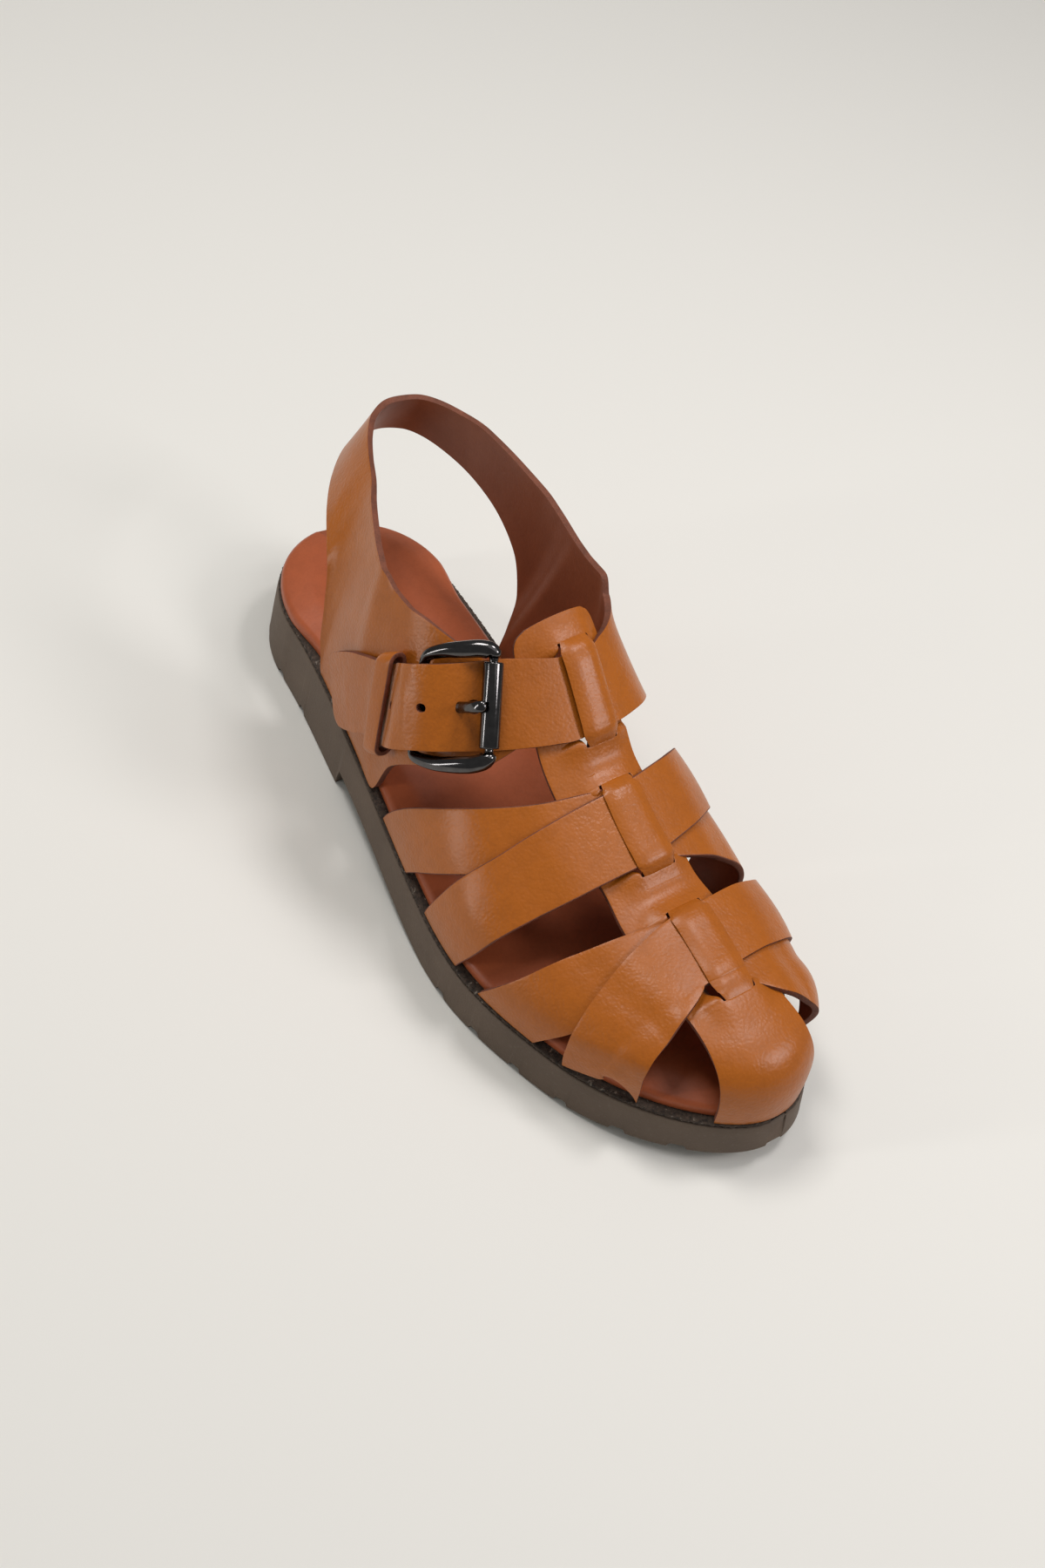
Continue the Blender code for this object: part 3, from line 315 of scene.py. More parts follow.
out = np.broadcast_to(out, (len(station), len(out))).copy()
down = np.concatenate([np.zeros((len(station), 2)), np.broadcast_to(lip_down, (len(station), 5)),
                       -side_share * depth, foot_up - depth], 1)
outer, inner = layer_rings(station, out, down)
for side_points in (outer, inner):
    side_points[:, -5:, 2] = low[:, None] + foot_up
share = np.linspace(0, 1, 10)[None, 1:-1, None]
bottom = outer[:, -1:] * (1 - share) + inner[:, -1:] * share
outsole = ring_piece("outsole_moulded", np.concatenate([outer, bottom, inner[:, ::-1]], 1),
                     [outsole_rubber()])
corners = outsole.modifiers.new("corners", "EDGE_SPLIT")
corners.split_angle = np.radians(50)
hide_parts("outsole")
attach(outsole, "root")

# Board: the cut edge of the fibre board that the straps are lasted under, seen as a rough dark
# line with beads of dried cement over the rubber.
GAP = 0.3 * MM
BOARD_THICKNESS = 1.0 * MM
LEDGE = 0.8 * MM
# Beads of cement along the edge, as two sines: depth, turns in radians for each metre, start.
BEADS = ((0.10 * MM, 2100, 0.0), (0.12 * MM, 5300, 1.3))


def board_fibre():
    """Dark fibre with pale beads of cement."""
    finish, tree, shader = node_tree("board_edge")
    fleck = blend_colours(tree, noise_at(tree, 420, 4, 0.7, twist=0.8), (0, 0, 0), (1, 1, 1), 0.60, 0.70)
    dark = blend_colours(tree, noise_at(tree, 900, 2), (0.020, 0.013, 0.009), (0.075, 0.050, 0.034))
    feed(tree, shader, {"Base Color": spotted(tree, fleck, dark, (0.26, 0.22, 0.17)),
                        "Roughness": ranged(tree, fleck, 0.85, 0.35)})
    bump_from(tree, shader, noise_at(tree, 800, 3, 0.7), 0.0006, 0.9)
    return finish


station = sole_stations(700)
beads = sum(depth * np.sin(along(station) * turns + start) for depth, turns, start in BEADS)
bulge = np.array([-6.0, -0.9, -0.45, -0.25, -0.45, -0.9, -6.0]) * MM
out = np.broadcast_to(bulge, (len(station), 7)) + beads[:, None] * np.array([0, 0, 1, 1, 1, 0, 0])
rise = GAP + BOARD_THICKNESS * np.array([1, 1, 0.85, 0.5, 0.15, 0, 0])
outer, inner = layer_rings(station, out, np.broadcast_to(rise, out.shape))
board = ring_piece("board_rough_edge", np.concatenate([outer, inner[:, ::-1]], 1), [board_fibre()])
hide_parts("insole_board")
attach(board, "root")

# Insole: leather drawn over foam, with a flat pressed rim, a rounded step and a soft middle.
# At the heel its rim reaches the edge of the sole; further on it stays inside the straps.
LEATHER = 2.0 * MM
BOND = 0.3 * MM
RIM_HEIGHT = 3.6 * MM
PAD_HEIGHT = 6.2 * MM
RIM_WIDTH = 4.5 * MM
PAD_SAG = 0.9 * MM


def leather_grain():
    """Shared group: Height of a pebbled grain with soft folds, and Tone of its uneven dye."""
    group = bpy.data.node_groups.new("leather_grain", "ShaderNodeTree")
    sockets = group.interface
    sockets.new_socket("Scale", in_out="INPUT", socket_type="NodeSocketFloat").default_value = 1.0
    sockets.new_socket("Height", in_out="OUTPUT", socket_type="NodeSocketFloat")
    sockets.new_socket("Tone", in_out="OUTPUT", socket_type="NodeSocketFloat")
    inside = group.nodes.new("NodeGroupInput")
    result = group.nodes.new("NodeGroupOutput")
    place = add(group, "ShaderNodeTexCoord", {}).outputs["Object"]
    scaled = add(group, "ShaderNodeVectorMath", {0: place, 3: inside.outputs["Scale"]}, operation="SCALE")
    warp = add(group, "ShaderNodeTexNoise", {"Vector": scaled.outputs[0], "Scale": 500.0, "Detail": 2.0})
    offset = add(group, "ShaderNodeVectorMath", {0: warp.outputs["Color"], 3: 0.0007}, operation="SCALE")
    moved = add(group, "ShaderNodeVectorMath", {0: scaled.outputs[0], 1: offset.outputs[0]}, operation="ADD")
    pebble = add(group, "ShaderNodeTexVoronoi", {"Vector": moved.outputs[0], "Scale": 1150.0},
                 feature="SMOOTH_F1")
    pits = add(group, "ShaderNodeTexNoise", {"Vector": scaled.outputs[0], "Scale": 260.0, "Detail": 4.0})
    cells = add(group, "ShaderNodeMath", {0: pebble.outputs["Distance"], 1: -0.6}, operation="MULTIPLY")
    height = add(group, "ShaderNodeMath", {0: pits.outputs["Fac"], 1: cells.outputs[0]}, operation="ADD")
    group.links.new(height.outputs[0], result.inputs["Height"])
    cloud = add(group, "ShaderNodeTexNoise", {"Vector": scaled.outputs[0], "Scale": 34.0, "Detail": 5.0,
                                              "Roughness": 0.62})
    group.links.new(cloud.outputs["Fac"], result.inputs["Tone"])
    return group


GRAIN = leather_grain()


def smooth_leather(name, dark, light, rough, scale, depth, coat):
    """Dyed smooth leather from the shared grain, with a thin coat of finish over it."""
    finish, tree, shader = node_tree(name)
    grain = add(tree, "ShaderNodeGroup", {}, node_tree=GRAIN)
    feed(tree, grain, {"Scale": scale})
    tone = blend_colours(tree, grain.outputs["Tone"], dark, light, 0.32, 0.68)
    pits = ranged(tree, grain.outputs["Height"], 0.93, 1.0, 0.05, 0.35)
    shaded = add(tree, "ShaderNodeVectorMath", {0: tone, 3: pits}, operation="SCALE")
    polish = ranged(tree, grain.outputs["Tone"], rough + 0.07, rough - 0.05, 0.3, 0.7)
    feed(tree, shader, {"Base Color": shaded.outputs[0], "Roughness": polish, "Specular IOR Level": 0.25,
                        "Coat Weight": coat, "Coat Roughness": 0.27})
    bump_from(tree, shader, grain.outputs["Height"], depth, 0.6)
    return finish


station = sole_stations(360)
low = BOARD_THICKNESS + 2 * GAP
inset = -LEDGE - (LEATHER + 2 * GAP) * ease((station - 0.12) / 0.08)
# Distance in from the rim's edge, and height over the board, down from the padded middle.
PAD_ROWS = (
    (RIM_WIDTH + 9.0 * MM, PAD_HEIGHT),
    (RIM_WIDTH + 5.5 * MM, PAD_HEIGHT - 0.15 * MM),
    (RIM_WIDTH + 3.2 * MM, PAD_HEIGHT - 0.50 * MM),
    (RIM_WIDTH + 1.2 * MM, PAD_HEIGHT - 1.05 * MM),
    (RIM_WIDTH - 0.6 * MM, PAD_HEIGHT - 1.60 * MM),
    (RIM_WIDTH - 2.0 * MM, RIM_HEIGHT + 0.55 * MM),
    (RIM_WIDTH - 3.0 * MM, RIM_HEIGHT + 0.20 * MM),
    (0.8 * MM, RIM_HEIGHT - 0.30 * MM),
    (0.35 * MM, RIM_HEIGHT - 0.85 * MM),
    (0.1 * MM, RIM_HEIGHT - 1.5 * MM),
    (0.0, RIM_HEIGHT - 2.3 * MM),
    (0.0, 0.0),
)
pad = smooth_rows(np.arange(len(PAD_ROWS)), PAD_ROWS, np.linspace(0, len(PAD_ROWS) - 1, 40))
out = inset[:, None] - pad[None, :, 0]
outer, inner = layer_rings(station, out, np.broadcast_to(low + pad[:, 1], out.shape))
share = np.linspace(0, 1, 14)[None, 1:-1, None]
middle = inner[:, :1] * (1 - share) + outer[:, :1] * share
hollow = np.sin(np.pi * share[0, :, 0])[None, :] * (0.5 + 0.9 * ease((0.35 - station) / 0.2))[:, None]
hollow *= ease((middle[..., 1] - along(0.03)) / (20 * MM)) * ease((along(0.98) - middle[..., 1]) / (20 * MM))
middle[..., 2] -= hollow * PAD_SAG
insole = ring_piece("insole_padded", np.concatenate([outer, inner[:, ::-1], middle], 1),
                    [smooth_leather("insole_leather", (0.370, 0.088, 0.031), (0.415, 0.102, 0.038),
                                    0.42, 1.1, 0.00009, 0.12)])
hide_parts("insole")
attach(insole, "root")

# Upper: smooth tan leather, 2 mm thick, cut with bare edges. Two straps cross over the ball and
# two over the toes; the centre strip runs over them and is slit so that its middle makes three
# bridges. The foot form below is the shape that all straps are drawn over.
INSTEP_HEIGHT = 58 * MM
# Along, ridge from the middle of the sole (share of the ball width), height (share of the
# instep height), fullness of the outer and inner side, swell of each side.
FORM_ROWS = (
    (0.10, -0.060, 1.50, 2.20, 2.60, 0.00, 0.05),
    (0.20, -0.095, 1.54, 2.20, 2.50, 0.00, 0.07),
    (0.30, -0.130, 1.58, 2.30, 2.40, 0.00, 0.10),
    (0.40, -0.190, 1.36, 2.30, 2.20, 0.00, 0.12),
    (0.50, -0.200, 1.04, 2.10, 2.10, 0.01, 0.095),
    (0.60, -0.170, 0.77, 2.10, 2.10, 0.02, 0.125),
    (0.70, -0.150, 0.58, 2.20, 2.20, 0.03, 0.110),
    (0.80, -0.110, 0.46, 2.30, 2.40, 0.03, 0.085),
    (0.86, -0.060, 0.43, 2.40, 2.50, 0.03, 0.06),
)
FAN_FROM = 0.86
TOE_FULLNESS = 2.9


def seat(station):
    """Height at which insole and straps stand on the board."""
    return top_edge(station) + BOARD_THICKNESS + 2 * GAP


def form_point(station, turn):
    """Point of the foot form: a superellipse half section at each station from the outer to the
    inner edge of the sole; past FAN_FROM the section turns forward round the toe, along a
    superellipse that keeps the toe full."""
    station, turn = np.broadcast_arrays(np.asarray(station, float), np.asarray(turn, float))
    u = np.minimum(station, FAN_FROM)
    fan = np.clip((station - FAN_FROM) / (1 - FAN_FROM), 0, 1) * np.pi / 2
    inset = LEDGE + LEATHER
    outer, inner = edge(u, 1, -inset)[..., 0], edge(u, -1, -inset)[..., 0]
    ridge, height, full_outer, full_inner, swell_outer, swell_inner = np.moveaxis(
        spline(FORM_ROWS, u), -1, 0)
    ridge = (outer + inner) / 2 + ridge * BALL_WIDTH
    cosine, sine = np.cos(np.pi * turn), np.clip(np.sin(np.pi * turn), 0, 1)
    on_outer = cosine > 0
    power = np.where(on_outer, full_outer, full_inner)
    reach = np.where(on_outer, outer - ridge, ridge - inner)
    swell = np.where(on_outer, swell_outer, swell_inner) * BALL_WIDTH * 2 * np.abs(cosine) * sine
    plain = ridge + np.sign(cosine) * reach * np.abs(cosine) ** (2 / power)
    u_toe = 1 - (1 - FAN_FROM) * np.linspace(1, 0, 90) ** 2
    outer_toe, inner_toe = edge(u_toe, 1, -inset), edge(u_toe, -1, -inset)
    forward = np.where(on_outer, np.interp(-plain, -outer_toe[:, 0], outer_toe[:, 1]),
                       np.interp(plain, inner_toe[:, 0], inner_toe[:, 1]))
    start = along(u)
    forward = np.maximum(forward - start, 0)
    foot = seat((start + forward + HEEL_BEHIND) / SOLE_LENGTH) - seat(u)
    rise = height * INSTEP_HEIGHT * sine ** (2 / power)
    front, over = np.sin(fan) ** (2 / TOE_FULLNESS), np.clip(np.cos(fan), 0, 1) ** (2 / TOE_FULLNESS)
    front = np.where(fan > 0, front, 0)
    return np.stack([plain + np.sign(cosine) * swell * over, start + forward * front,
                     seat(u) + rise * over + foot * front ** 2], -1)


def form(station, turn, lift=0.0):
    """Point at a height over the foot form, along its normal."""
    station, turn = np.broadcast_arrays(np.asarray(station, float), np.asarray(turn, float))
    e = 2e-3
    forward = form_point(station + e, turn) - form_point(station - e, turn)
    round_ = (form_point(station, np.clip(turn + e, e, 1 - e))
              - form_point(station, np.clip(turn - e, 0, 1 - 2 * e)))
    out = unit(np.cross(forward, round_))
    return form_point(station, turn) + out * np.asarray(lift)[..., None]


def stand(points):
    """Points kept at or over the height of the seat."""
    level = seat((points[..., 1] + HEEL_BEHIND) / SOLE_LENGTH)
    points[..., 2] = np.maximum(points[..., 2], level)
    return points


def grid_normals(points, way=1):
    """Unit normals of a grid of points: cross product of its two directions."""
    return unit(np.cross(np.gradient(points, axis=1), np.gradient(points, axis=0)) * way)


def blurred(grid, times):
    """Grid of vectors averaged with its neighbours, to take sharp steps out of its normals."""
    for _ in range(times):
        padded = np.pad(grid, ((1, 1), (1, 1), (0, 0)), mode="edge")
        grid = (padded[:-2, 1:-1] + padded[2:, 1:-1] + padded[1:-1, :-2] + padded[1:-1, 2:]
                + 4 * padded[1:-1, 1:-1]) / 8
    return grid


def cut_leather(name, inner, outer, materials, keep=None, wrap=False, bevel=0.35 * MM):
    """Closed sheet between two grids of points, less the cells that keep leaves out. Its faces
    have the first material, its cut edges with their bevel the second and its inside the third."""
    rows, columns = inner.shape[:2]
    cells = np.ones((rows - (not wrap), columns - 1), bool) if keep is None else keep
    i, j = np.nonzero(cells)
    count = rows * columns
    following = (i + 1) % rows
    ring = np.stack([i * columns + j, following * columns + j, following * columns + j + 1,
                     i * columns + j + 1], -1)
    faces, slots = [ring + count, ring[:, ::-1]], [np.zeros(len(ring)), np.full(len(ring), 2)]
    padded = np.pad(cells, 1)
    if wrap:
        padded[0, 1:-1], padded[-1, 1:-1] = cells[-1], cells[0]
    for k, (down, right) in enumerate(((0, -1), (1, 0), (0, 1), (-1, 0))):
        open_ = ~padded[i + 1 + down, j + 1 + right]
        a, b = ring[open_, k], ring[open_, (k + 1) % 4]
        faces.append(np.stack([b + count, a + count, a, b], -1))
        slots.append(np.ones(open_.sum()))
    points = np.concatenate([inner.reshape(-1, 3), outer.reshape(-1, 3)])
    faces = np.concatenate(faces)
    used, faces = np.unique(faces, return_inverse=True)
    piece = mesh_piece(name, points[used], faces.reshape(-1, 4).tolist(), materials, np.concatenate(slots))
    turn_outwards(piece)
    rounding = piece.modifiers.new("worn_edges", "BEVEL")
    rounding.width, rounding.segments = bevel, 3
    rounding.limit_method, rounding.angle_limit = "ANGLE", np.radians(55)
    rounding.use_clamp_overlap = True
    rounding.material = 1
    return piece


def raw_edge():
    """Bare cut of the leather: reddish fibres, rough, darker in places."""
    finish, tree, shader = node_tree("leather_cut")
    fibres = noise_at(tree, 1400, 3, 0.7)
    colour = blend_colours(tree, noise_at(tree, 160, 3), (0.140, 0.042, 0.020), (0.235, 0.070, 0.034))
    shade = ranged(tree, fibres, 0.7, 1.0, 0.3, 0.6)
    mixed = add(tree, "ShaderNodeVectorMath", {0: colour, 3: shade}, operation="SCALE")
    feed(tree, shader, {"Base Color": mixed.outputs[0], "Roughness": 0.72})
    bump_from(tree, shader, fibres, 0.0003, 0.8)
    return finish


TAN = smooth_leather("strap_leather", (0.385, 0.104, 0.0085), (0.420, 0.117, 0.0105),
                     0.35, 1.0, 0.00030, 0.26)
CUT = raw_edge()
INSIDE = smooth_leather("leather_inside", (0.250, 0.070, 0.028), (0.290, 0.084, 0.034),
                        0.45, 1.0, 0.00010, 0.10)
LEATHERS = [TAN, CUT, INSIDE]
# Crossed straps: station and turn of the rear edge, station and turn of the front edge, and
# how many straps lie under this one.
CROSSED = {
    "mid_under": (
        (0.436, 0.00, 0.515, 0.00, 0.0),
        (0.476, 0.08, 0.560, 0.09, 0.0),
        (0.525, 0.18, 0.600, 0.18, 0.0),
        (0.566, 0.28, 0.640, 0.28, 0.0),
        (0.596, 0.38, 0.677, 0.38, 1.0),
        (0.611, 0.47, 0.701, 0.47, 1.0),
        (0.622, 0.53, 0.707, 0.53, 1.0),
        (0.634, 0.60, 0.718, 0.60, 1.0),
        (0.648, 0.70, 0.729, 0.70, 0.0),
        (0.660, 0.85, 0.738, 0.85, 0.0),
        (0.668, 1.00, 0.739, 1.00, 0.0),
    ),
    "mid_over": (
        (0.570, 0.00, 0.648, 0.00, 0.0),
        (0.588, 0.09, 0.668, 0.09, 0.25),
        (0.602, 0.18, 0.681, 0.18, 1.0),
        (0.613, 0.28, 0.692, 0.28, 1.0),
        (0.616, 0.38, 0.700, 0.38, 2.0),
        (0.616, 0.47, 0.702, 0.47, 2.0),
        (0.611, 0.53, 0.694, 0.53, 2.0),
        (0.603, 0.60, 0.684, 0.60, 2.0),
        (0.589, 0.70, 0.666, 0.70, 1.0),
        (0.566, 0.85, 0.642, 0.85, 0.6),
        (0.550, 1.00, 0.628, 1.00, 0.0),
    ),
    "toe_under": (
        (0.690, 0.00, 0.775, 0.00, 0.0),
        (0.712, 0.08, 0.795, 0.08, 0.0),
        (0.729, 0.16, 0.811, 0.15, 0.0),
        (0.746, 0.28, 0.828, 0.28, 0.0),
        (0.760, 0.38, 0.846, 0.38, 1.0),
        (0.771, 0.47, 0.857, 0.47, 1.0),
        (0.782, 0.53, 0.864, 0.52, 1.0),
        (0.800, 0.60, 0.884, 0.59, 1.0),
        (0.822, 0.70, 0.912, 0.665, 0.0),
        (0.845, 0.85, 0.955, 0.740, 0.0),
        (0.855, 1.00, 1.000, 0.790, 0.0),
    ),
    "toe_over": (
        (0.815, 0.00, 1.000, 0.200, 0.0),
        (0.814, 0.08, 0.945, 0.215, 0.2),
        (0.811, 0.16, 0.904, 0.255, 1.0),
        (0.798, 0.28, 0.882, 0.315, 1.0),
        (0.783, 0.38, 0.868, 0.385, 2.0),
        (0.770, 0.47, 0.858, 0.47, 2.0),
        (0.768, 0.53, 0.852, 0.53, 2.0),
        (0.765, 0.60, 0.848, 0.60, 2.0),
        (0.762, 0.70, 0.842, 0.70, 1.0),
        (0.752, 0.85, 0.832, 0.85, 0.6),
        (0.745, 1.00, 0.826, 1.00, 0.0),
    ),
}
SAG = 0.45 * MM
PINCH_TURN = 0.12
BRIDGE_OUTER = 0.470
BRIDGE_INNER = 0.524
SLIT_WIDTH = 0.004
# Slits of the centre strip: first and last station, straps that its bridge crosses.
SLITS = ((0.470, 0.564, 2.0), (0.609, 0.710, 3.0), (0.765, 0.868, 3.0))
BRIDGE_RAMP = 0.012
# Leather round a slit's end: share of the bridge's height at the end, reach along the strip of
# the leather drawn up before it, and reach across and along of the leather beside the bridge.
END_RISE = 0.45
DRAWN_ALONG = 0.024
BESIDE_TURN = 0.035
BESIDE_ALONG = 0.0045
# Dent inside each end: depth, way from the end, and its reach along and across.
DENT_DEPTH = 0.3 * MM
DENT_FROM = 0.010
DENT_ALONG = 0.006
DENT_TURN = 0.02
SIDE_STEPS = 12
# Centre strip: station, turn of its outer and inner edge.
STRIP_ROWS = (
    (0.444, 0.425, 0.545),
    (0.447, 0.406, 0.562),
    (0.454, 0.396, 0.571),
    (0.466, 0.392, 0.574),
    (0.550, 0.387, 0.566),
    (0.640, 0.402, 0.560),
    (0.705, 0.404, 0.560),
    (0.760, 0.394, 0.566),
    (0.868, 0.390, 0.578),
    (0.912, 0.384, 0.590),
    (0.965, 0.377, 0.602),
    (1.000, 0.373, 0.608),
)


def even_share(rows, count):
    """Rows of a table spread over a share from 0 to 1, read at a count of even steps."""
    rows = np.asarray(rows, float)
    return smooth_rows(np.linspace(0, 1, len(rows)), rows, np.linspace(0, 1, count))


def crossed_strap(name, rows, count=170, across=22):
    """Sheet on the foot form between a strap's two edges, over the straps that lie under it. The
    leather is puffed by half a sine between its edges, and less where it turns down to the
    sole."""
    rows = even_share(rows, count + 1)
    share = np.linspace(0, 1, across + 1)[None, :]
    station = rows[:, 0:1] * (1 - share) + rows[:, 2:3] * share
    turn = rows[:, 1:2] * (1 - share) + rows[:, 3:4] * share
    lift = np.broadcast_to(rows[:, 4:] * (LEATHER - BOND), station.shape)
    puff = SAG * np.sin(np.pi * share) * np.clip(np.minimum(turn, 1 - turn) / PINCH_TURN, 0, 1)
    inner = stand(form(station, turn, lift + puff))
    outer = stand(inner + blurred(grid_normals(form(station, turn, lift + puff)), 3) * LEATHER)
    return cut_leather("strap_" + name, inner, outer, LEATHERS)


def strip_lift(station, turn, left, right):
    """Height of the strip over the foot form. Between its slits it rises by a sine over the
    crossed straps, from nearly half its height at each slit's end; there the leather beside it
    is drawn up too, and falls off as a Gaussian. Inside both ends it is dented."""
    lift = np.zeros(station.shape)
    off = np.clip(np.abs(turn - (left + right) / 2) - (right - left) / 2, 0, 1)
    for first, last, crossed in SLITS:
        height = crossed * (LEATHER - BOND if crossed > 2 else LEATHER + 1.5 * GAP)
        inside = np.minimum(station - first, last - station)
        ramp = np.sin(np.clip(inside / BRIDGE_RAMP, 0, 1) * np.pi / 2)
        drawn = END_RISE * np.exp(-(inside / DRAWN_ALONG) ** 2 + inside / DRAWN_ALONG)
        rise = np.where(inside > 0, END_RISE + (1 - END_RISE) * ramp, drawn)
        inside = np.maximum(inside, 0)
        beside = np.exp(-(off / BESIDE_TURN) ** 2 - (inside / BESIDE_ALONG) ** 2)
        lift += height * rise * np.where(off > 0, beside, 1)
        for end, way in ((first, -1), (last, 1)):
            reach = (station - end) * way
            dent = np.exp(-((reach + DENT_FROM) / DENT_ALONG) ** 2 - (off / DENT_TURN) ** 2)
            lift -= DENT_DEPTH * dent
    return lift


def centre_strip():
    """Strip down the middle of the foot form, with two slits at each bridge."""
    near = [np.linspace(end - 0.016, end + 0.016, 30) for slit in SLITS for end in slit[:2]]
    ends = [np.array(slit[:2]) for slit in SLITS]
    rounded_end = np.linspace(STRIP_ROWS[0][0], 0.472, 26)
    station = np.concatenate([rounded_end, np.linspace(0.472, 1.0, 230), *near])
    station = np.unique(np.concatenate([np.round(station, 4), *ends]))
    rows = smooth_rows([row[0] for row in STRIP_ROWS], [row[1:] for row in STRIP_ROWS], station)
    left_edge, right_edge = rows[:, 0], rows[:, 1]
    half = SLIT_WIDTH / 2
    left, right = np.maximum(BRIDGE_OUTER, left_edge + 0.01), np.minimum(BRIDGE_INNER, right_edge - 0.01)
    parts = [(left_edge, left - half, SIDE_STEPS), (left - half, left + half, 1),
             (left + half, right - half, SIDE_STEPS), (right - half, right + half, 1),
             (right + half, right_edge, SIDE_STEPS)]
    turn = [left_edge[:, None]]
    for a, b, steps in parts:
        turn.append(a[:, None] + (b - a)[:, None] * np.linspace(0, 1, steps + 1)[None, 1:])
    turn = np.concatenate(turn, 1)
    middle = (station[1:] + station[:-1]) / 2
    station = np.broadcast_to(station[:, None], turn.shape)
    lift = strip_lift(station, turn, (left + half)[:, None], (right - half)[:, None])
    keep = np.ones((turn.shape[0] - 1, turn.shape[1] - 1), bool)
    for first, last, _ in SLITS:
        cut = (middle > first) & (middle < last)
        keep[cut, SIDE_STEPS] = keep[cut, 2 * SIDE_STEPS + 1] = False
    inner = form(station, turn, lift)
    smooth = form(station, turn, blurred(lift[..., None], 4)[..., 0])
    outer = inner + blurred(grid_normals(smooth, -1), 3) * LEATHER
    return cut_leather("strap_centre", stand(inner), stand(outer), LEATHERS, keep)


upper = [crossed_strap(name, rows) for name, rows in CROSSED.items()] + [centre_strip()]
for piece in upper:
    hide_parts("upper")
    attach(piece, "root")

# Heel strap: one piece of the same leather, from the tab under the buckle round the heel and
# back over the instep to the rounded tip of the ankle strap, with punched holes.
COLLAR_HEIGHT = 62 * MM
# Station and turn of the lower and of the upper edge of the tab.
TAB_ROWS = (
    (0.533, 0.354, 0.468, 0.384),
    (0.529, 0.300, 0.450, 0.350),
    (0.500, 0.222, 0.412, 0.300),
    (0.462, 0.145, 0.375, 0.262),
    (0.425, 0.075, 0.345, 0.235),
    (0.390, 0.000, 0.318, 0.222),
)
# Station, side place (share of the ball width) and height (share of the collar height) of the
# lower and of the upper edge, and bow. A lower edge at height 0 stands on the sole's edge.
HEEL_ROWS = (
    (0.345, 1.000, 0.00, 0.294, 0.324, 1.00, 0.036),
    (0.300, 1.000, 0.00, 0.271, 0.300, 1.00, 0.032),
    (0.255, 1.000, 0.00, 0.250, 0.273, 1.00, 0.028),
    (0.216, 1.000, 0.00, 0.231, 0.245, 1.00, 0.022),
    (0.204, 0.366, 0.16, 0.212, 0.216, 1.00, 0.016),
    (0.190, 0.343, 0.42, 0.188, 0.177, 1.00, 0.010),
    (0.165, 0.300, 0.64, 0.158, 0.122, 1.00, 0.004),
    (0.122, 0.225, 0.71, 0.118, 0.060, 0.99, 0.002),
    (0.072, 0.110, 0.72, 0.080, -0.010, 0.98, 0.002),
    (0.032, -0.030, 0.72, 0.050, -0.090, 0.97, 0.002),
    (0.016, -0.160, 0.72, 0.036, -0.180, 0.96, 0.002),
    (0.028, -0.270, 0.71, 0.046, -0.275, 0.97, 0.002),
    (0.070, -0.340, 0.70, 0.085, -0.355, 0.98, 0.002),
    (0.130, -0.376, 0.68, 0.140, -0.393, 1.00, 0.002),
    (0.190, -0.388, 0.62, 0.200, -0.402, 1.00, 0.004),
    (0.236, -0.388, 0.50, 0.256, -0.400, 1.00, 0.010),
    (0.262, -0.376, 0.30, 0.300, -0.383, 1.00, 0.018),
    (0.275, -0.325, 0.12, 0.330, -0.367, 1.00, 0.028),
    (0.286, -1.000, 0.00, 0.350, -0.357, 1.00, 0.034),
    (0.322, -1.000, 0.00, 0.371, -0.349, 1.00, 0.040),
    (0.360, -1.000, 0.00, 0.390, -0.342, 1.01, 0.044),
    (0.398, -1.000, 0.00, 0.410, -0.332, 1.025, 0.046),
)
# Station and turn of the front and of the rear edge of the ankle strap.
ANKLE_ROWS = (
    (0.438, 0.930, 0.424, 0.685),
    (0.482, 0.835, 0.443, 0.650),
    (0.520, 0.725, 0.460, 0.610),
    (0.543, 0.625, 0.472, 0.566),
    (0.554, 0.535, 0.480, 0.522),
    (0.556, 0.465, 0.479, 0.470),
    (0.548, 0.410, 0.469, 0.422),
    (0.535, 0.358, 0.456, 0.378),
    (0.516, 0.300, 0.440, 0.325),
    (0.494, 0.247, 0.423, 0.280),
    (0.462, 0.183, 0.401, 0.232),
    (0.432, 0.128, 0.381, 0.192),
    (0.405, 0.088, 0.357, 0.158),
    (0.374, 0.060, 0.326, 0.126),
    (0.346, 0.032, 0.298, 0.101),
    (0.320, 0.013, 0.272, 0.077),
    (0.304, 0.005, 0.257, 0.063),
    (0.294, 0.001, 0.248, 0.055),
)
ROLLER_DIAMETER = 6.0 * MM
ROLLER_PLACE = (0.484, 0.330)
BUCKLE_SKEW = 0.21
BAR_BACK = 21 * MM
KEEPER_BACK = 35 * MM
STRAP_HALF = 13 * MM
BAR_WIRE = 3.0 * MM
CHAPE_LEATHER = 1.2 * MM
KEEPER_LEATHER = 1.4 * MM
KEEPER_WIDTH = 7 * MM
CROWN = 0.25 * MM
HOLE_SIZE = 2.6 * MM
# Punched holes: way back from the roller, and diameter. The last is stretched by the prong.
HOLES = ((17.5 * MM, HOLE_SIZE), (28 * MM, HOLE_SIZE), (5.0 * MM, 4.3 * MM))
TIP_ROUND = 5 * MM
TIP_SHORT = 0.5 * MM
# Height at which the tip rests over the tab, length that rests, and length of the way down.
TIP_REST = 0.5 * MM
TIP_REACH = 17 * MM
TIP_FALL = 7 * MM
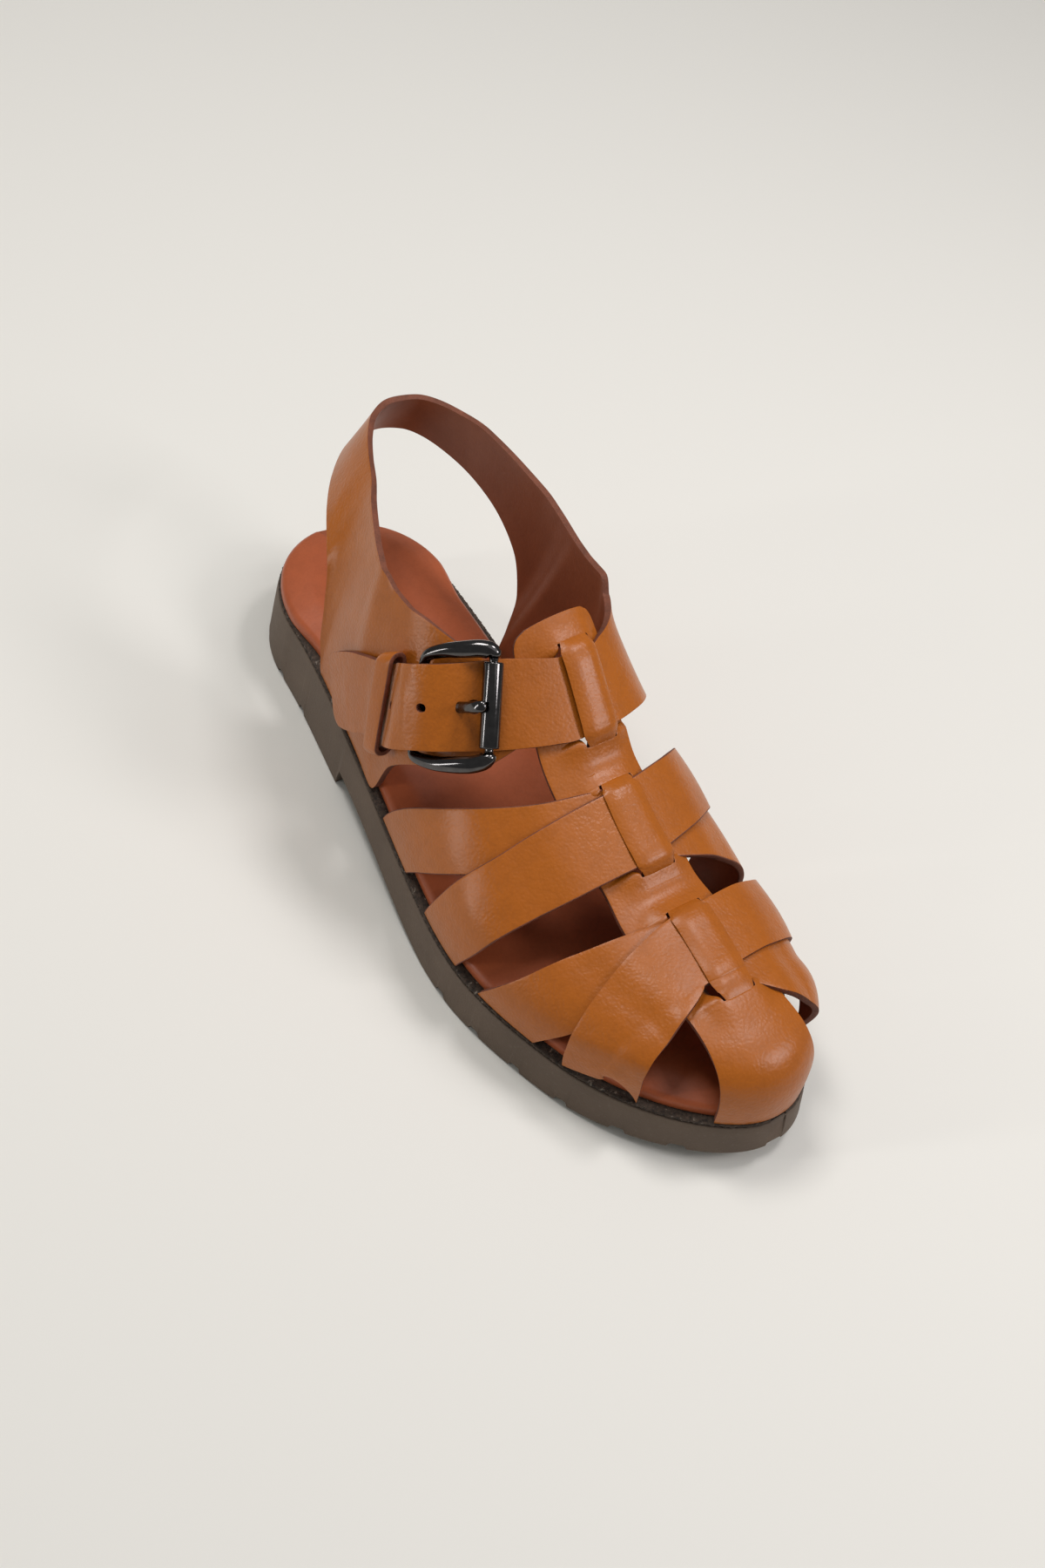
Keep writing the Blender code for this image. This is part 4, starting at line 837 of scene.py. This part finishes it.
# Rows of the sheet's grid that lie under the tip.
UNDER_TIP = slice(12, 130)
BAR_HEIGHT = LEATHER + CROWN + GAP + CHAPE_LEATHER + GAP + BAR_WIRE / 2
OVER_BAR = BAR_HEIGHT + BAR_WIRE / 2 + CHAPE_LEATHER + 3 * GAP
OVER_TAB = LEATHER + CROWN + GAP
PIN_HEIGHT = OVER_TAB + CROWN + LEATHER + GAP + ROLLER_DIAMETER / 2
OVER_KEEPER = LEATHER + CROWN + 2 * GAP + KEEPER_LEATHER
# Height of the ankle strap's inner face over the tab's inner face: way back from the roller.
STRAP_LIFTS = (
    (-200 * MM, 0.0), (-100 * MM, 0.0), (-66 * MM, LEATHER + GAP), (-12 * MM, LEATHER + GAP),
    (0.0, OVER_TAB + CROWN), (8 * MM, OVER_TAB + 2.5 * MM), (BAR_BACK - 3 * MM, OVER_BAR),
    (BAR_BACK + 2.5 * MM, OVER_BAR), (BAR_BACK + 6 * MM, OVER_BAR - 2 * MM),
    (KEEPER_BACK - 3.5 * MM, OVER_KEEPER + 0.5 * MM), (KEEPER_BACK + 4 * MM, OVER_KEEPER),
    (KEEPER_BACK + 12 * MM, OVER_TAB + 0.8 * MM), (80 * MM, OVER_TAB + 0.4 * MM),
)


def buckle_zone():
    """Mid line of the ankle strap: station and turn of both edges, and way back from the roller."""
    rows = even_share(ANKLE_ROWS, 161)
    middle = form(rows[:, [0, 2]].mean(1), rows[:, [1, 3]].mean(1), np.full(len(rows), LEATHER))
    run = np.concatenate([[0], np.cumsum(np.linalg.norm(np.diff(middle, axis=0), axis=1))])
    roller = form(*ROLLER_PLACE, LEATHER)
    return rows, run - run[np.argmin(np.linalg.norm(middle - roller, axis=1))]


def strap_lift(back):
    """Height over the foot form at a way back from the roller, from the table of lifts."""
    place = [row[0] for row in STRAP_LIFTS]
    lifts = [[row[1]] for row in STRAP_LIFTS]
    return smooth_rows(place, lifts, np.clip(back, place[0], place[-1]))[:, 0]


def ankle_edges():
    """Inner faces of the ankle strap: lower edge, middle and upper edge, row by row."""
    rows, back = buckle_zone()
    slant = STRAP_HALF * BUCKLE_SKEW
    low = form(rows[:, 0], rows[:, 1], strap_lift(back - slant))
    high = form(rows[:, 2], rows[:, 3], strap_lift(back + slant))
    lift = strap_lift(back)
    middle = form(rows[:, [0, 2]].mean(1), rows[:, [1, 3]].mean(1), lift)
    chord = (form(rows[:, 0], rows[:, 1], lift) + form(rows[:, 2], rows[:, 3], lift)) / 2
    flat = (ease((back + 12 * MM) / (12 * MM)) + ease((-45 * MM - back) / (20 * MM)))[:, None] * 0.85
    return np.stack([low, middle * (1 - flat) + chord * flat, high], 1)[::3]


def heel_rows():
    """Inner faces of the heel strap from the tab round the heel to the ankle strap's tip."""
    tab = np.asarray(TAB_ROWS, float)
    tab_middle = form(tab[:, [0, 2]].mean(1), tab[:, [1, 3]].mean(1), 0.0)
    tab_rows = np.stack([form(tab[:, 0], tab[:, 1]), tab_middle, form(tab[:, 2], tab[:, 3])], 1)
    rows = []
    for low_at, low_side, low_up, high_at, high_side, high_up, bow in HEEL_ROWS:
        if low_up == 0:
            low = np.array([*edge(low_at, np.sign(low_side), -LEDGE - LEATHER), seat(low_at)])
        else:
            low = np.array([low_side * BALL_WIDTH, along(low_at), seat(low_at) + low_up * COLLAR_HEIGHT])
        high = np.array([high_side * BALL_WIDTH, along(high_at), seat(0.1) + high_up * COLLAR_HEIGHT])
        out = np.array([np.sign(low_side) * bow * BALL_WIDTH, 0, 0])
        rows.append([low, (low + high) / 2 + out, high])
    return np.concatenate([tab_rows, np.array(rows), ankle_edges()])


def on_strap(back, side, height):
    """Point near the buckle: way back from the roller, side (positive to the upper edge) and
    height over the chord of the foot form across the strap."""
    rows, place = buckle_zone()
    low, high = form(rows[:, 0], rows[:, 1]), form(rows[:, 2], rows[:, 3])
    centre = (low + high) / 2
    across = unit(high - low)
    out = unit(np.cross(across, np.gradient(centre, axis=0)))
    back, side, height = np.broadcast_arrays(*[np.asarray(v, float) for v in (back, side, height)])
    back = back - side * BUCKLE_SKEW
    read = [np.stack([np.interp(back, place, grid[:, k]) for k in range(3)], -1)
            for grid in (centre, across, out)]
    return read[0] + read[1] * side[..., None] + read[2] * height[..., None]


def rest_tip(inner, out, share):
    """Rows of the strap's tip pushed out, by a share from row to row, so that their inner face
    rests on the outer face of the tab under them."""
    tip = np.nonzero(share > 0)[0]
    face = (inner[UNDER_TIP] + out[UNDER_TIP] * LEATHER).reshape(-1, 3)
    facing = out[UNDER_TIP].reshape(-1, 3)
    push = np.zeros(inner[tip].shape[:2])
    for k, row in enumerate(tip):
        near = np.argmin(((inner[row][:, None] - face[None]) ** 2).sum(-1), 1)
        push[k] = TIP_REST - ((inner[row] - face[near]) * facing[near]).sum(-1)
    push = blurred(np.maximum(push, 0)[..., None], 10)
    inner[tip] += out[tip] * push * share[tip, None, None]
    return inner


def heel_strap(step=0.85 * MM, across=34):
    """Ribbon through the rows' lower edges, middles and upper edges: a curve along the run and
    a parabola across. Round each hole the grid's squares are eased into circles, and the tip
    narrows in quarter circles."""
    rows = heel_rows()
    run = np.concatenate([[0], np.cumsum(np.linalg.norm(np.diff(rows, axis=0), axis=2).mean(1))])
    tip = run[-1] - TIP_SHORT - TIP_ROUND
    at = np.linspace(0, tip, int(tip / step))
    step = at[1] - at[0]
    at = np.concatenate([at, tip + TIP_ROUND * np.sin(np.linspace(0, np.pi / 2, 11))[1:]])

    def surface(place, share):
        """Points of the ribbon at places along its run and shares across it."""
        low, middle, high = np.moveaxis(smooth_rows(run, rows, place.ravel()), 1, 0)
        s = share.ravel()[:, None]
        point = low * 2 * (s - 0.5) * (s - 1) + middle * 4 * s * (1 - s) + high * 2 * s * (s - 0.5)
        return point.reshape(*place.shape, 3)

    place, share = np.meshgrid(at, np.linspace(0, 1, across + 1), indexing="ij")
    turned = np.sqrt(1 - np.clip((place - tip) / TIP_ROUND, 0, 1) ** 2)
    share = 0.5 + (share - 0.5) * (1 - TIP_ROUND / STRAP_HALF * (1 - turned))
    plain = surface(place, share)
    keep = np.ones((len(at) - 1, across), bool)
    second_half = len(at) // 2
    for back, wide in HOLES:
        centre = on_strap(back, 0.0, strap_lift(np.array([back]))[0])
        away = np.linalg.norm(plain[second_half:] - centre, axis=-1)
        i0, j0 = np.unravel_index(np.argmin(away), away.shape)
        i0 += second_half
        i, j = np.arange(i0 - 4, i0 + 5), np.arange(j0 - 4, j0 + 5)
        di, dj = np.meshgrid(i - i0, j - j0, indexing="ij")
        ring = np.maximum(np.abs(di), np.abs(dj))
        width = np.linalg.norm(plain[i0, -1] - plain[i0, 0])
        flat = np.stack([di * step, dj * width / across], -1)
        length = np.maximum(np.linalg.norm(np.stack([di, dj], -1), axis=-1), 1e-9)
        circle = np.stack([di, dj], -1) / length[..., None] * wide / 2 * (ring / 2)[..., None]
        share_out = np.clip((ring - 2) / 2, 0, 1)[..., None]
        moved = circle * (1 - share_out) + flat * share_out
        place[np.ix_(i, j)] = at[i0] + moved[..., 0]
        share[np.ix_(i, j)] = j0 / across + moved[..., 1] / width
        keep[i0 - 2:i0 + 2, j0 - 2:j0 + 2] = False
    inner = surface(place, share)
    e = 0.2 * MM
    before, after = np.clip(place - e, 0, run[-1]), np.clip(place + e, 0, run[-1])
    along_run = surface(after, share) - surface(before, share)
    over = surface(place, share + 0.004) - surface(place, share - 0.004)
    out = unit(blurred(unit(np.cross(over, along_run)), 4))
    inner = rest_tip(inner, out, ease((at - at[-1] + TIP_REACH) / TIP_FALL))
    return cut_leather("strap_heel", stand(inner), stand(inner + out * LEATHER), LEATHERS, keep)


strap = heel_strap()
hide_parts("heel_strap")
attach(strap, "root")

# Chape and keeper: thin leather folded round the buckle's bar and slit for the prong, and a
# narrow loop that holds the strap's tip down.
CHAPE_WIDTH = 23 * MM
KEEPER_HALF = 14.5 * MM
KEEPER_ROOM = 1.1 * MM
KEEPER_BEND = 2.4 * MM
PRONG_WIDTH = 3.4 * MM
FOLD = BAR_WIRE / 2 + GAP + CHAPE_LEATHER / 2


def even_rows(rows, count):
    """Rows read along their own length at even steps."""
    rows = np.asarray(rows, float)
    run = np.concatenate([[0], np.cumsum(np.linalg.norm(np.diff(rows[:, :2], axis=0), axis=1))])
    return smooth_rows(run, rows, np.linspace(0, run[-1], count))


def on_buckle(back, side, height):
    """As on_strap, but straight across, for the metal and the leather fold round its bar."""
    axis = unit(on_strap(back, STRAP_HALF, 0.0) - on_strap(back, -STRAP_HALF, 0.0))
    return on_strap(back, 0.0, height) + axis * np.asarray(side, float)[..., None]


def chape():
    """Sheet along a folded line that turns round the bar, with a slot left out at the bend."""
    low = LEATHER + CROWN + GAP + CHAPE_LEATHER / 2
    end = KEEPER_BACK - 7 * MM
    angle = np.radians(np.linspace(-90, 90, 15))
    wrap = np.column_stack([BAR_BACK - FOLD * np.cos(angle), BAR_HEIGHT + FOLD * np.sin(angle)])
    under = [(end, low), (BAR_BACK + 5.5 * MM, low), (BAR_BACK + 3.8 * MM, low), (BAR_BACK + 2 * MM, low)]
    over = [(BAR_BACK + 2 * MM, BAR_HEIGHT + FOLD - 0.2 * MM), (BAR_BACK + 3.8 * MM, BAR_HEIGHT + 1.3 * MM),
            (BAR_BACK + 5.5 * MM, low + 2.0 * MM), (end, low + CHAPE_LEATHER + GAP)]
    rows = even_rows(np.concatenate([under, wrap, over]), 60)
    run = np.gradient(rows, axis=0)
    away = unit(np.column_stack([run[:, 1], -run[:, 0]])) * CHAPE_LEATHER / 2
    half, slot = CHAPE_WIDTH / 2, PRONG_WIDTH / 2 + 1.5 * GAP
    side = np.concatenate([np.linspace(-half, -slot, 12), np.linspace(slot, half, 12)])
    grids = [on_buckle(rows[:, :1] + way * away[:, :1] + 0 * side, side[None, :] + 0 * rows[:, :1],
                       rows[:, 1:] + way * away[:, 1:] + 0 * side) for way in (-1, 1)]
    keep = np.ones((len(rows) - 1, len(side) - 1), bool)
    front = np.nonzero(rows[:, 0] < BAR_BACK + 1.2 * MM)[0]
    keep[front[0]:front[-1], 11] = False
    return cut_leather("buckle_chape_leather", *grids, [TAN, CUT, TAN], keep, bevel=0.2 * MM)


def keeper():
    """Closed loop of leather round the tab and strap: a rounded slot in section."""
    low = LEATHER + CROWN + GAP + KEEPER_LEATHER / 2
    high = OVER_KEEPER + KEEPER_ROOM + LEATHER + GAP + KEEPER_LEATHER / 2
    half, tall, bend = KEEPER_HALF + KEEPER_LEATHER / 2, (high - low) / 2, KEEPER_BEND
    turn = np.radians(np.arange(0, 360, 7.5) + 3.75)
    way_side, way_rise = np.sign(np.cos(turn)), np.sign(np.sin(turn))
    side = way_side * (half - bend) + bend * np.cos(turn)
    rise = (low + high) / 2 + way_rise * (tall - bend) + bend * np.sin(turn)
    quarter = len(turn) // 4
    rows = np.stack([side, rise, np.cos(turn), np.sin(turn)], 1)
    long_side = []
    for k in range(4):
        block = rows[k * quarter:(k + 1) * quarter]
        nxt = rows[((k + 1) * quarter) % len(rows)]
        fill = block[-1] + (nxt - block[-1]) * np.linspace(0, 1, (16 if k % 2 == 0 else 3) + 1)[1:-1, None]
        long_side += [block, fill]
    rows = np.concatenate(long_side)
    rows[:, 2:] = unit(rows[:, 2:])
    back = KEEPER_BACK + np.linspace(-0.5, 0.5, 8) * KEEPER_WIDTH
    grids = []
    for way in (-1, 1):
        step = way * KEEPER_LEATHER / 2
        crown = (1 + way) / 2 * CROWN * (1 - (np.linspace(-1, 1, 8)[None, :]) ** 4)
        grids.append(on_strap(back[None, :], rows[:, :1] + (step + crown) * rows[:, 2:3],
                              rows[:, 1:2] + (step + crown) * rows[:, 3:]))
    return cut_leather("keeper_leather", *grids, [TAN, CUT, INSIDE], wrap=True, bevel=0.3 * MM)


for piece, node in ((chape(), "buckle_chape"), (keeper(), "keeper_loop")):
    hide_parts(node)
    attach(piece, "root")

# Buckle: cast frame that swells towards its corners, a rolled tube turning on its pin, and a
# flat prong hooked round the bar, all plated in glossy gunmetal.
ROLLER_LENGTH = 25 * MM
PIN_WIRE = 2.6 * MM
PRONG_HEIGHT = 2.2 * MM
PRONG_TAPER = 1.6 * MM
HOOK_POINTS = 30
ROLLER_LIP = 0.5 * MM
# From the middle of the bar to the middle of the pin: way back, side, radius.
FRAME_ROWS = (
    (BAR_BACK, 0.0, BAR_WIRE / 2),
    (BAR_BACK, 12.4 * MM, BAR_WIRE / 2),
    (20.2 * MM, 14.9 * MM, 1.7 * MM),
    (17.0 * MM, 16.1 * MM, 2.0 * MM),
    (12.0 * MM, 16.7 * MM, 2.3 * MM),
    (5.0 * MM, 16.8 * MM, 2.6 * MM),
    (1.6 * MM, 16.2 * MM, 2.6 * MM),
    (0.0, 14.6 * MM, 2.3 * MM),
    (0.0, 13.2 * MM, PIN_WIRE / 2),
    (0.0, 0.0, PIN_WIRE / 2),
)
# Prong past its hook: way back, height over the tab's inner face, half height.
PRONG_ROWS = (
    (16.5 * MM, 4.1 * MM, 0.8 * MM),
    (14.0 * MM, 4.5 * MM, 1.0 * MM),
    (11.0 * MM, 5.3 * MM, PRONG_HEIGHT / 2),
    (8.0 * MM, 7.3 * MM, PRONG_HEIGHT / 2),
    (5.5 * MM, 10.2 * MM, PRONG_HEIGHT / 2),
    (3.0 * MM, 12.9 * MM, PRONG_HEIGHT / 2),
    (0.9 * MM, 14.0 * MM, PRONG_HEIGHT / 2 - 0.2 * MM),
)


def gunmetal():
    """Near black plating, polished, with faint wear marks in its gloss."""
    finish, tree, shader = node_tree("gunmetal_plated")
    wear = noise_at(tree, 300, 4, 0.7)
    tone = blend_colours(tree, wear, (0.080, 0.077, 0.078), (0.115, 0.111, 0.111))
    feed(tree, shader, {"Base Color": tone, "Metallic": 1.0, "Roughness": ranged(tree, wear, 0.08, 0.17)})
    bump_from(tree, shader, noise_at(tree, 900, 2), 0.00003, 0.4)
    return finish


STEEL = gunmetal()


def rod(name, path, wide, tall, up, sides, endless, power):
    """Rod along a path with a superellipse section: half sizes across and along the up vectors."""
    run = unit(np.roll(path, -1, 0) - np.roll(path, 1, 0) if endless else np.gradient(path, axis=0))
    across = unit(np.cross(up, run))
    rise = np.cross(run, across)
    turn = np.linspace(0, 2 * np.pi, sides, endpoint=False)
    cosine = np.sign(np.cos(turn)) * np.abs(np.cos(turn)) ** (2 / power)
    sine = np.sign(np.sin(turn)) * np.abs(np.sin(turn)) ** (2 / power)
    rings = (path[:, None] + across[:, None] * (wide[:, None] * cosine)[..., None]
             + rise[:, None] * (tall[:, None] * sine)[..., None])
    return ring_piece(name, rings, [STEEL], endless)


def strap_up(count):
    """Vectors along the height over the strap at the roller, one for each point of a path."""
    return np.tile(on_strap(0.0, 0.0, 1.0) - on_strap(0.0, 0.0, 0.0), (count, 1))


def buckle_frame():
    """Closed rod through the frame's rows, mirrored across the strap."""
    half = even_rows(FRAME_ROWS, 110)
    rows = np.concatenate([half, half[-2:0:-1] * np.array([1, -1, 1])])
    share = rows[:, 0] / BAR_BACK
    path = on_buckle(rows[:, 0], rows[:, 1], PIN_HEIGHT + (BAR_HEIGHT - PIN_HEIGHT) * share)
    return rod("buckle_frame_cast", path, rows[:, 2], rows[:, 2], strap_up(len(path)), 30, True, 2.2)


def buckle_roller():
    """Tube round the pin: circles of the two radii, eased in at both lips, with a fine seam."""
    turn = np.linspace(0, 2 * np.pi, 56, endpoint=False)
    axis = on_buckle(0.0, 1.0, 0.0) - on_buckle(0.0, 0.0, 0.0)
    up = strap_up(1)[0]
    rise = unit(up - axis * (up @ axis))
    run = np.cross(rise, axis)
    half, big, small = ROLLER_LENGTH / 2, ROLLER_DIAMETER / 2, PIN_WIRE / 2 + GAP
    bend = np.linspace(0, np.pi / 2, 5)
    wall = [(half - ROLLER_LIP * (1 - np.sin(t)), big - ROLLER_LIP * (1 - np.cos(t))) for t in bend]
    profile = np.array([(-s, r) for s, r in wall[::-1]] + [(s, r) for s, r in wall]
                       + [(half, small), (-half, small)])
    seam = 1 - 0.04 * np.exp(-((turn - 3.9) / 0.06) ** 2)
    radius = profile[:, 1:] * np.where(profile[:, 1:] > small + 0.2 * MM, seam[None, :], 1)
    rings = (on_buckle(0.0, 0.0, PIN_HEIGHT) + profile[:, :1, None] * axis
             + (radius * np.cos(turn))[..., None] * run + (radius * np.sin(turn))[..., None] * rise)
    return ring_piece("buckle_roller_tube", rings, [STEEL], endless=True)


def buckle_prong():
    """Flat rod that hooks round the bar and rises through the strap to the roller, its tip
    tapered to a rounded end."""
    angle = np.radians(np.linspace(50, 292, HOOK_POINTS))
    hook = np.column_stack([BAR_BACK - FOLD * np.cos(angle), BAR_HEIGHT + FOLD * np.sin(angle),
                            np.full(len(angle), CHAPE_LEATHER / 2)])
    rows = np.concatenate([hook, even_rows(PRONG_ROWS, 48)])
    path = on_strap(rows[:, 0], 0.0, rows[:, 1])
    left = np.linalg.norm(path - path[-1], axis=1)
    tip = np.sqrt(np.clip(1 - (1 - np.clip(left / PRONG_TAPER, 0, 1)) ** 2, 0.02, 1))
    tip[:HOOK_POINTS] = 1
    side = on_buckle(rows[:, 0], 1.0, 0.0) - on_buckle(rows[:, 0], 0.0, 0.0)
    up = np.cross(np.gradient(path, axis=0), side)
    return rod("buckle_prong_wire", path, PRONG_WIDTH / 2 * tip, rows[:, 2] * tip, up, 24, False, 2.6)


for piece, node in ((buckle_frame(), "buckle_frame"), (buckle_roller(), "buckle_roller"),
                    (buckle_prong(), "buckle_prong")):
    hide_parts(node)
    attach(piece, "root")

# Studio: a pale matt floor that fills the picture, five soft lights that give the straps their
# gloss, a little light from all sides, and the camera of the photograph.
VIEW_AZIMUTH = 44.16
VIEW_ELEVATION = 50.24
VIEW_ROLL = 14.45
VIEW_AT = np.array([0.0, 0.089, 0.015])
VIEW_FAR = 0.65
FOCAL = 46.97
# Shift of the picture in pixels of the photograph, and the photograph's height.
SHIFT = (-6.5, 33.5)
PHOTO_HEIGHT = 1800
FLOOR_HALF = 3.0
# Lights: way to the right, up and back in the picture's axes, width, height, power and colour.
LIGHTS = {
    "key": (-0.15, 0.90, 0.70, 0.35, 0.35, 4.8, (1.0, 0.97, 0.95)),
    "ridge": (0.50, 0.72, 0.62, 0.22, 0.22, 2.8, (1.0, 0.96, 0.97)),
    "side": (-1.0, 0.05, 0.55, 0.08, 0.6, 2.2, (1.0, 0.99, 0.97)),
    "fill": (0.9, 0.15, 0.62, 0.3, 0.3, 3.2, (1.0, 0.96, 0.97)),
}
TOP_PLACE = np.array([-0.2, 0.3, 1.2])


def view_axes():
    """Right, up and back of the camera: the level axes at its azimuth and elevation, turned by
    its roll."""
    azimuth, elevation, roll = np.radians([VIEW_AZIMUTH, VIEW_ELEVATION, VIEW_ROLL])
    level = np.array([-np.sin(azimuth), np.cos(azimuth), 0])
    back = np.array([np.cos(elevation) * np.cos(azimuth), np.cos(elevation) * np.sin(azimuth),
                     np.sin(elevation)])
    upright = np.cross(back, level)
    right = level * np.cos(roll) + upright * np.sin(roll)
    return right, np.cross(back, right), back


def floor_paint():
    """Pale matt paint."""
    finish, tree, shader = node_tree("floor_paint")
    feed(tree, shader, {"Base Color": (0.805, 0.797, 0.750, 1), "Roughness": 0.9,
                        "Specular IOR Level": 0.15})
    return finish


corners = np.array([(-1, -1, 0), (1, -1, 0), (1, 1, 0), (-1, 1, 0)]) * FLOOR_HALF
floor = mesh_piece("floor", corners, [[0, 1, 2, 3]], [floor_paint()], smooth=False)


def set_up(name, data, right, up, back, place):
    """Light or camera put into the scene at a place, with its three axes."""
    thing = bpy.data.objects.new(name, data)
    matrix = np.eye(4)
    matrix[:3] = np.column_stack([right, up, back, place])
    thing.matrix_world = Matrix(matrix.tolist())
    bpy.context.scene.collection.objects.link(thing)
    return thing


def soft_light(name, away, wide, tall, power, colour):
    """Rectangular light at a way from the middle of the view, facing it."""
    data = bpy.data.lights.new(name, "AREA")
    data.shape, data.size, data.size_y, data.energy, data.color = "RECTANGLE", wide, tall, power, colour
    back = unit(away)
    right = unit(np.cross((0, 0, 1), back))
    set_up(name, data, right, np.cross(back, right), back, VIEW_AT + away)


view = view_axes()
for name, (right, up, back, *settings) in LIGHTS.items():
    soft_light(name, view[0] * right + view[1] * up + view[2] * back, *settings)
soft_light("top", TOP_PLACE, 1.0, 1.0, 1.8, (1.0, 1.0, 1.0))
world = bpy.data.worlds.new("soft_world")
world.use_nodes = True
feed(world.node_tree, world.node_tree.nodes["Background"], {"Color": (0.95, 0.95, 0.94, 1), "Strength": 0.20})
bpy.context.scene.world = world
bpy.context.scene.view_settings.view_transform = "Standard"

lens = bpy.data.cameras.new("photo_camera")
lens.lens, lens.sensor_width, lens.sensor_fit = FOCAL, 36, "AUTO"
lens.shift_x, lens.shift_y = SHIFT[0] / PHOTO_HEIGHT, SHIFT[1] / PHOTO_HEIGHT
lens.clip_start, lens.clip_end = 0.05, 20
bpy.context.scene.camera = set_up("photo_camera", lens, *view, VIEW_AT + view[2] * VIEW_FAR)
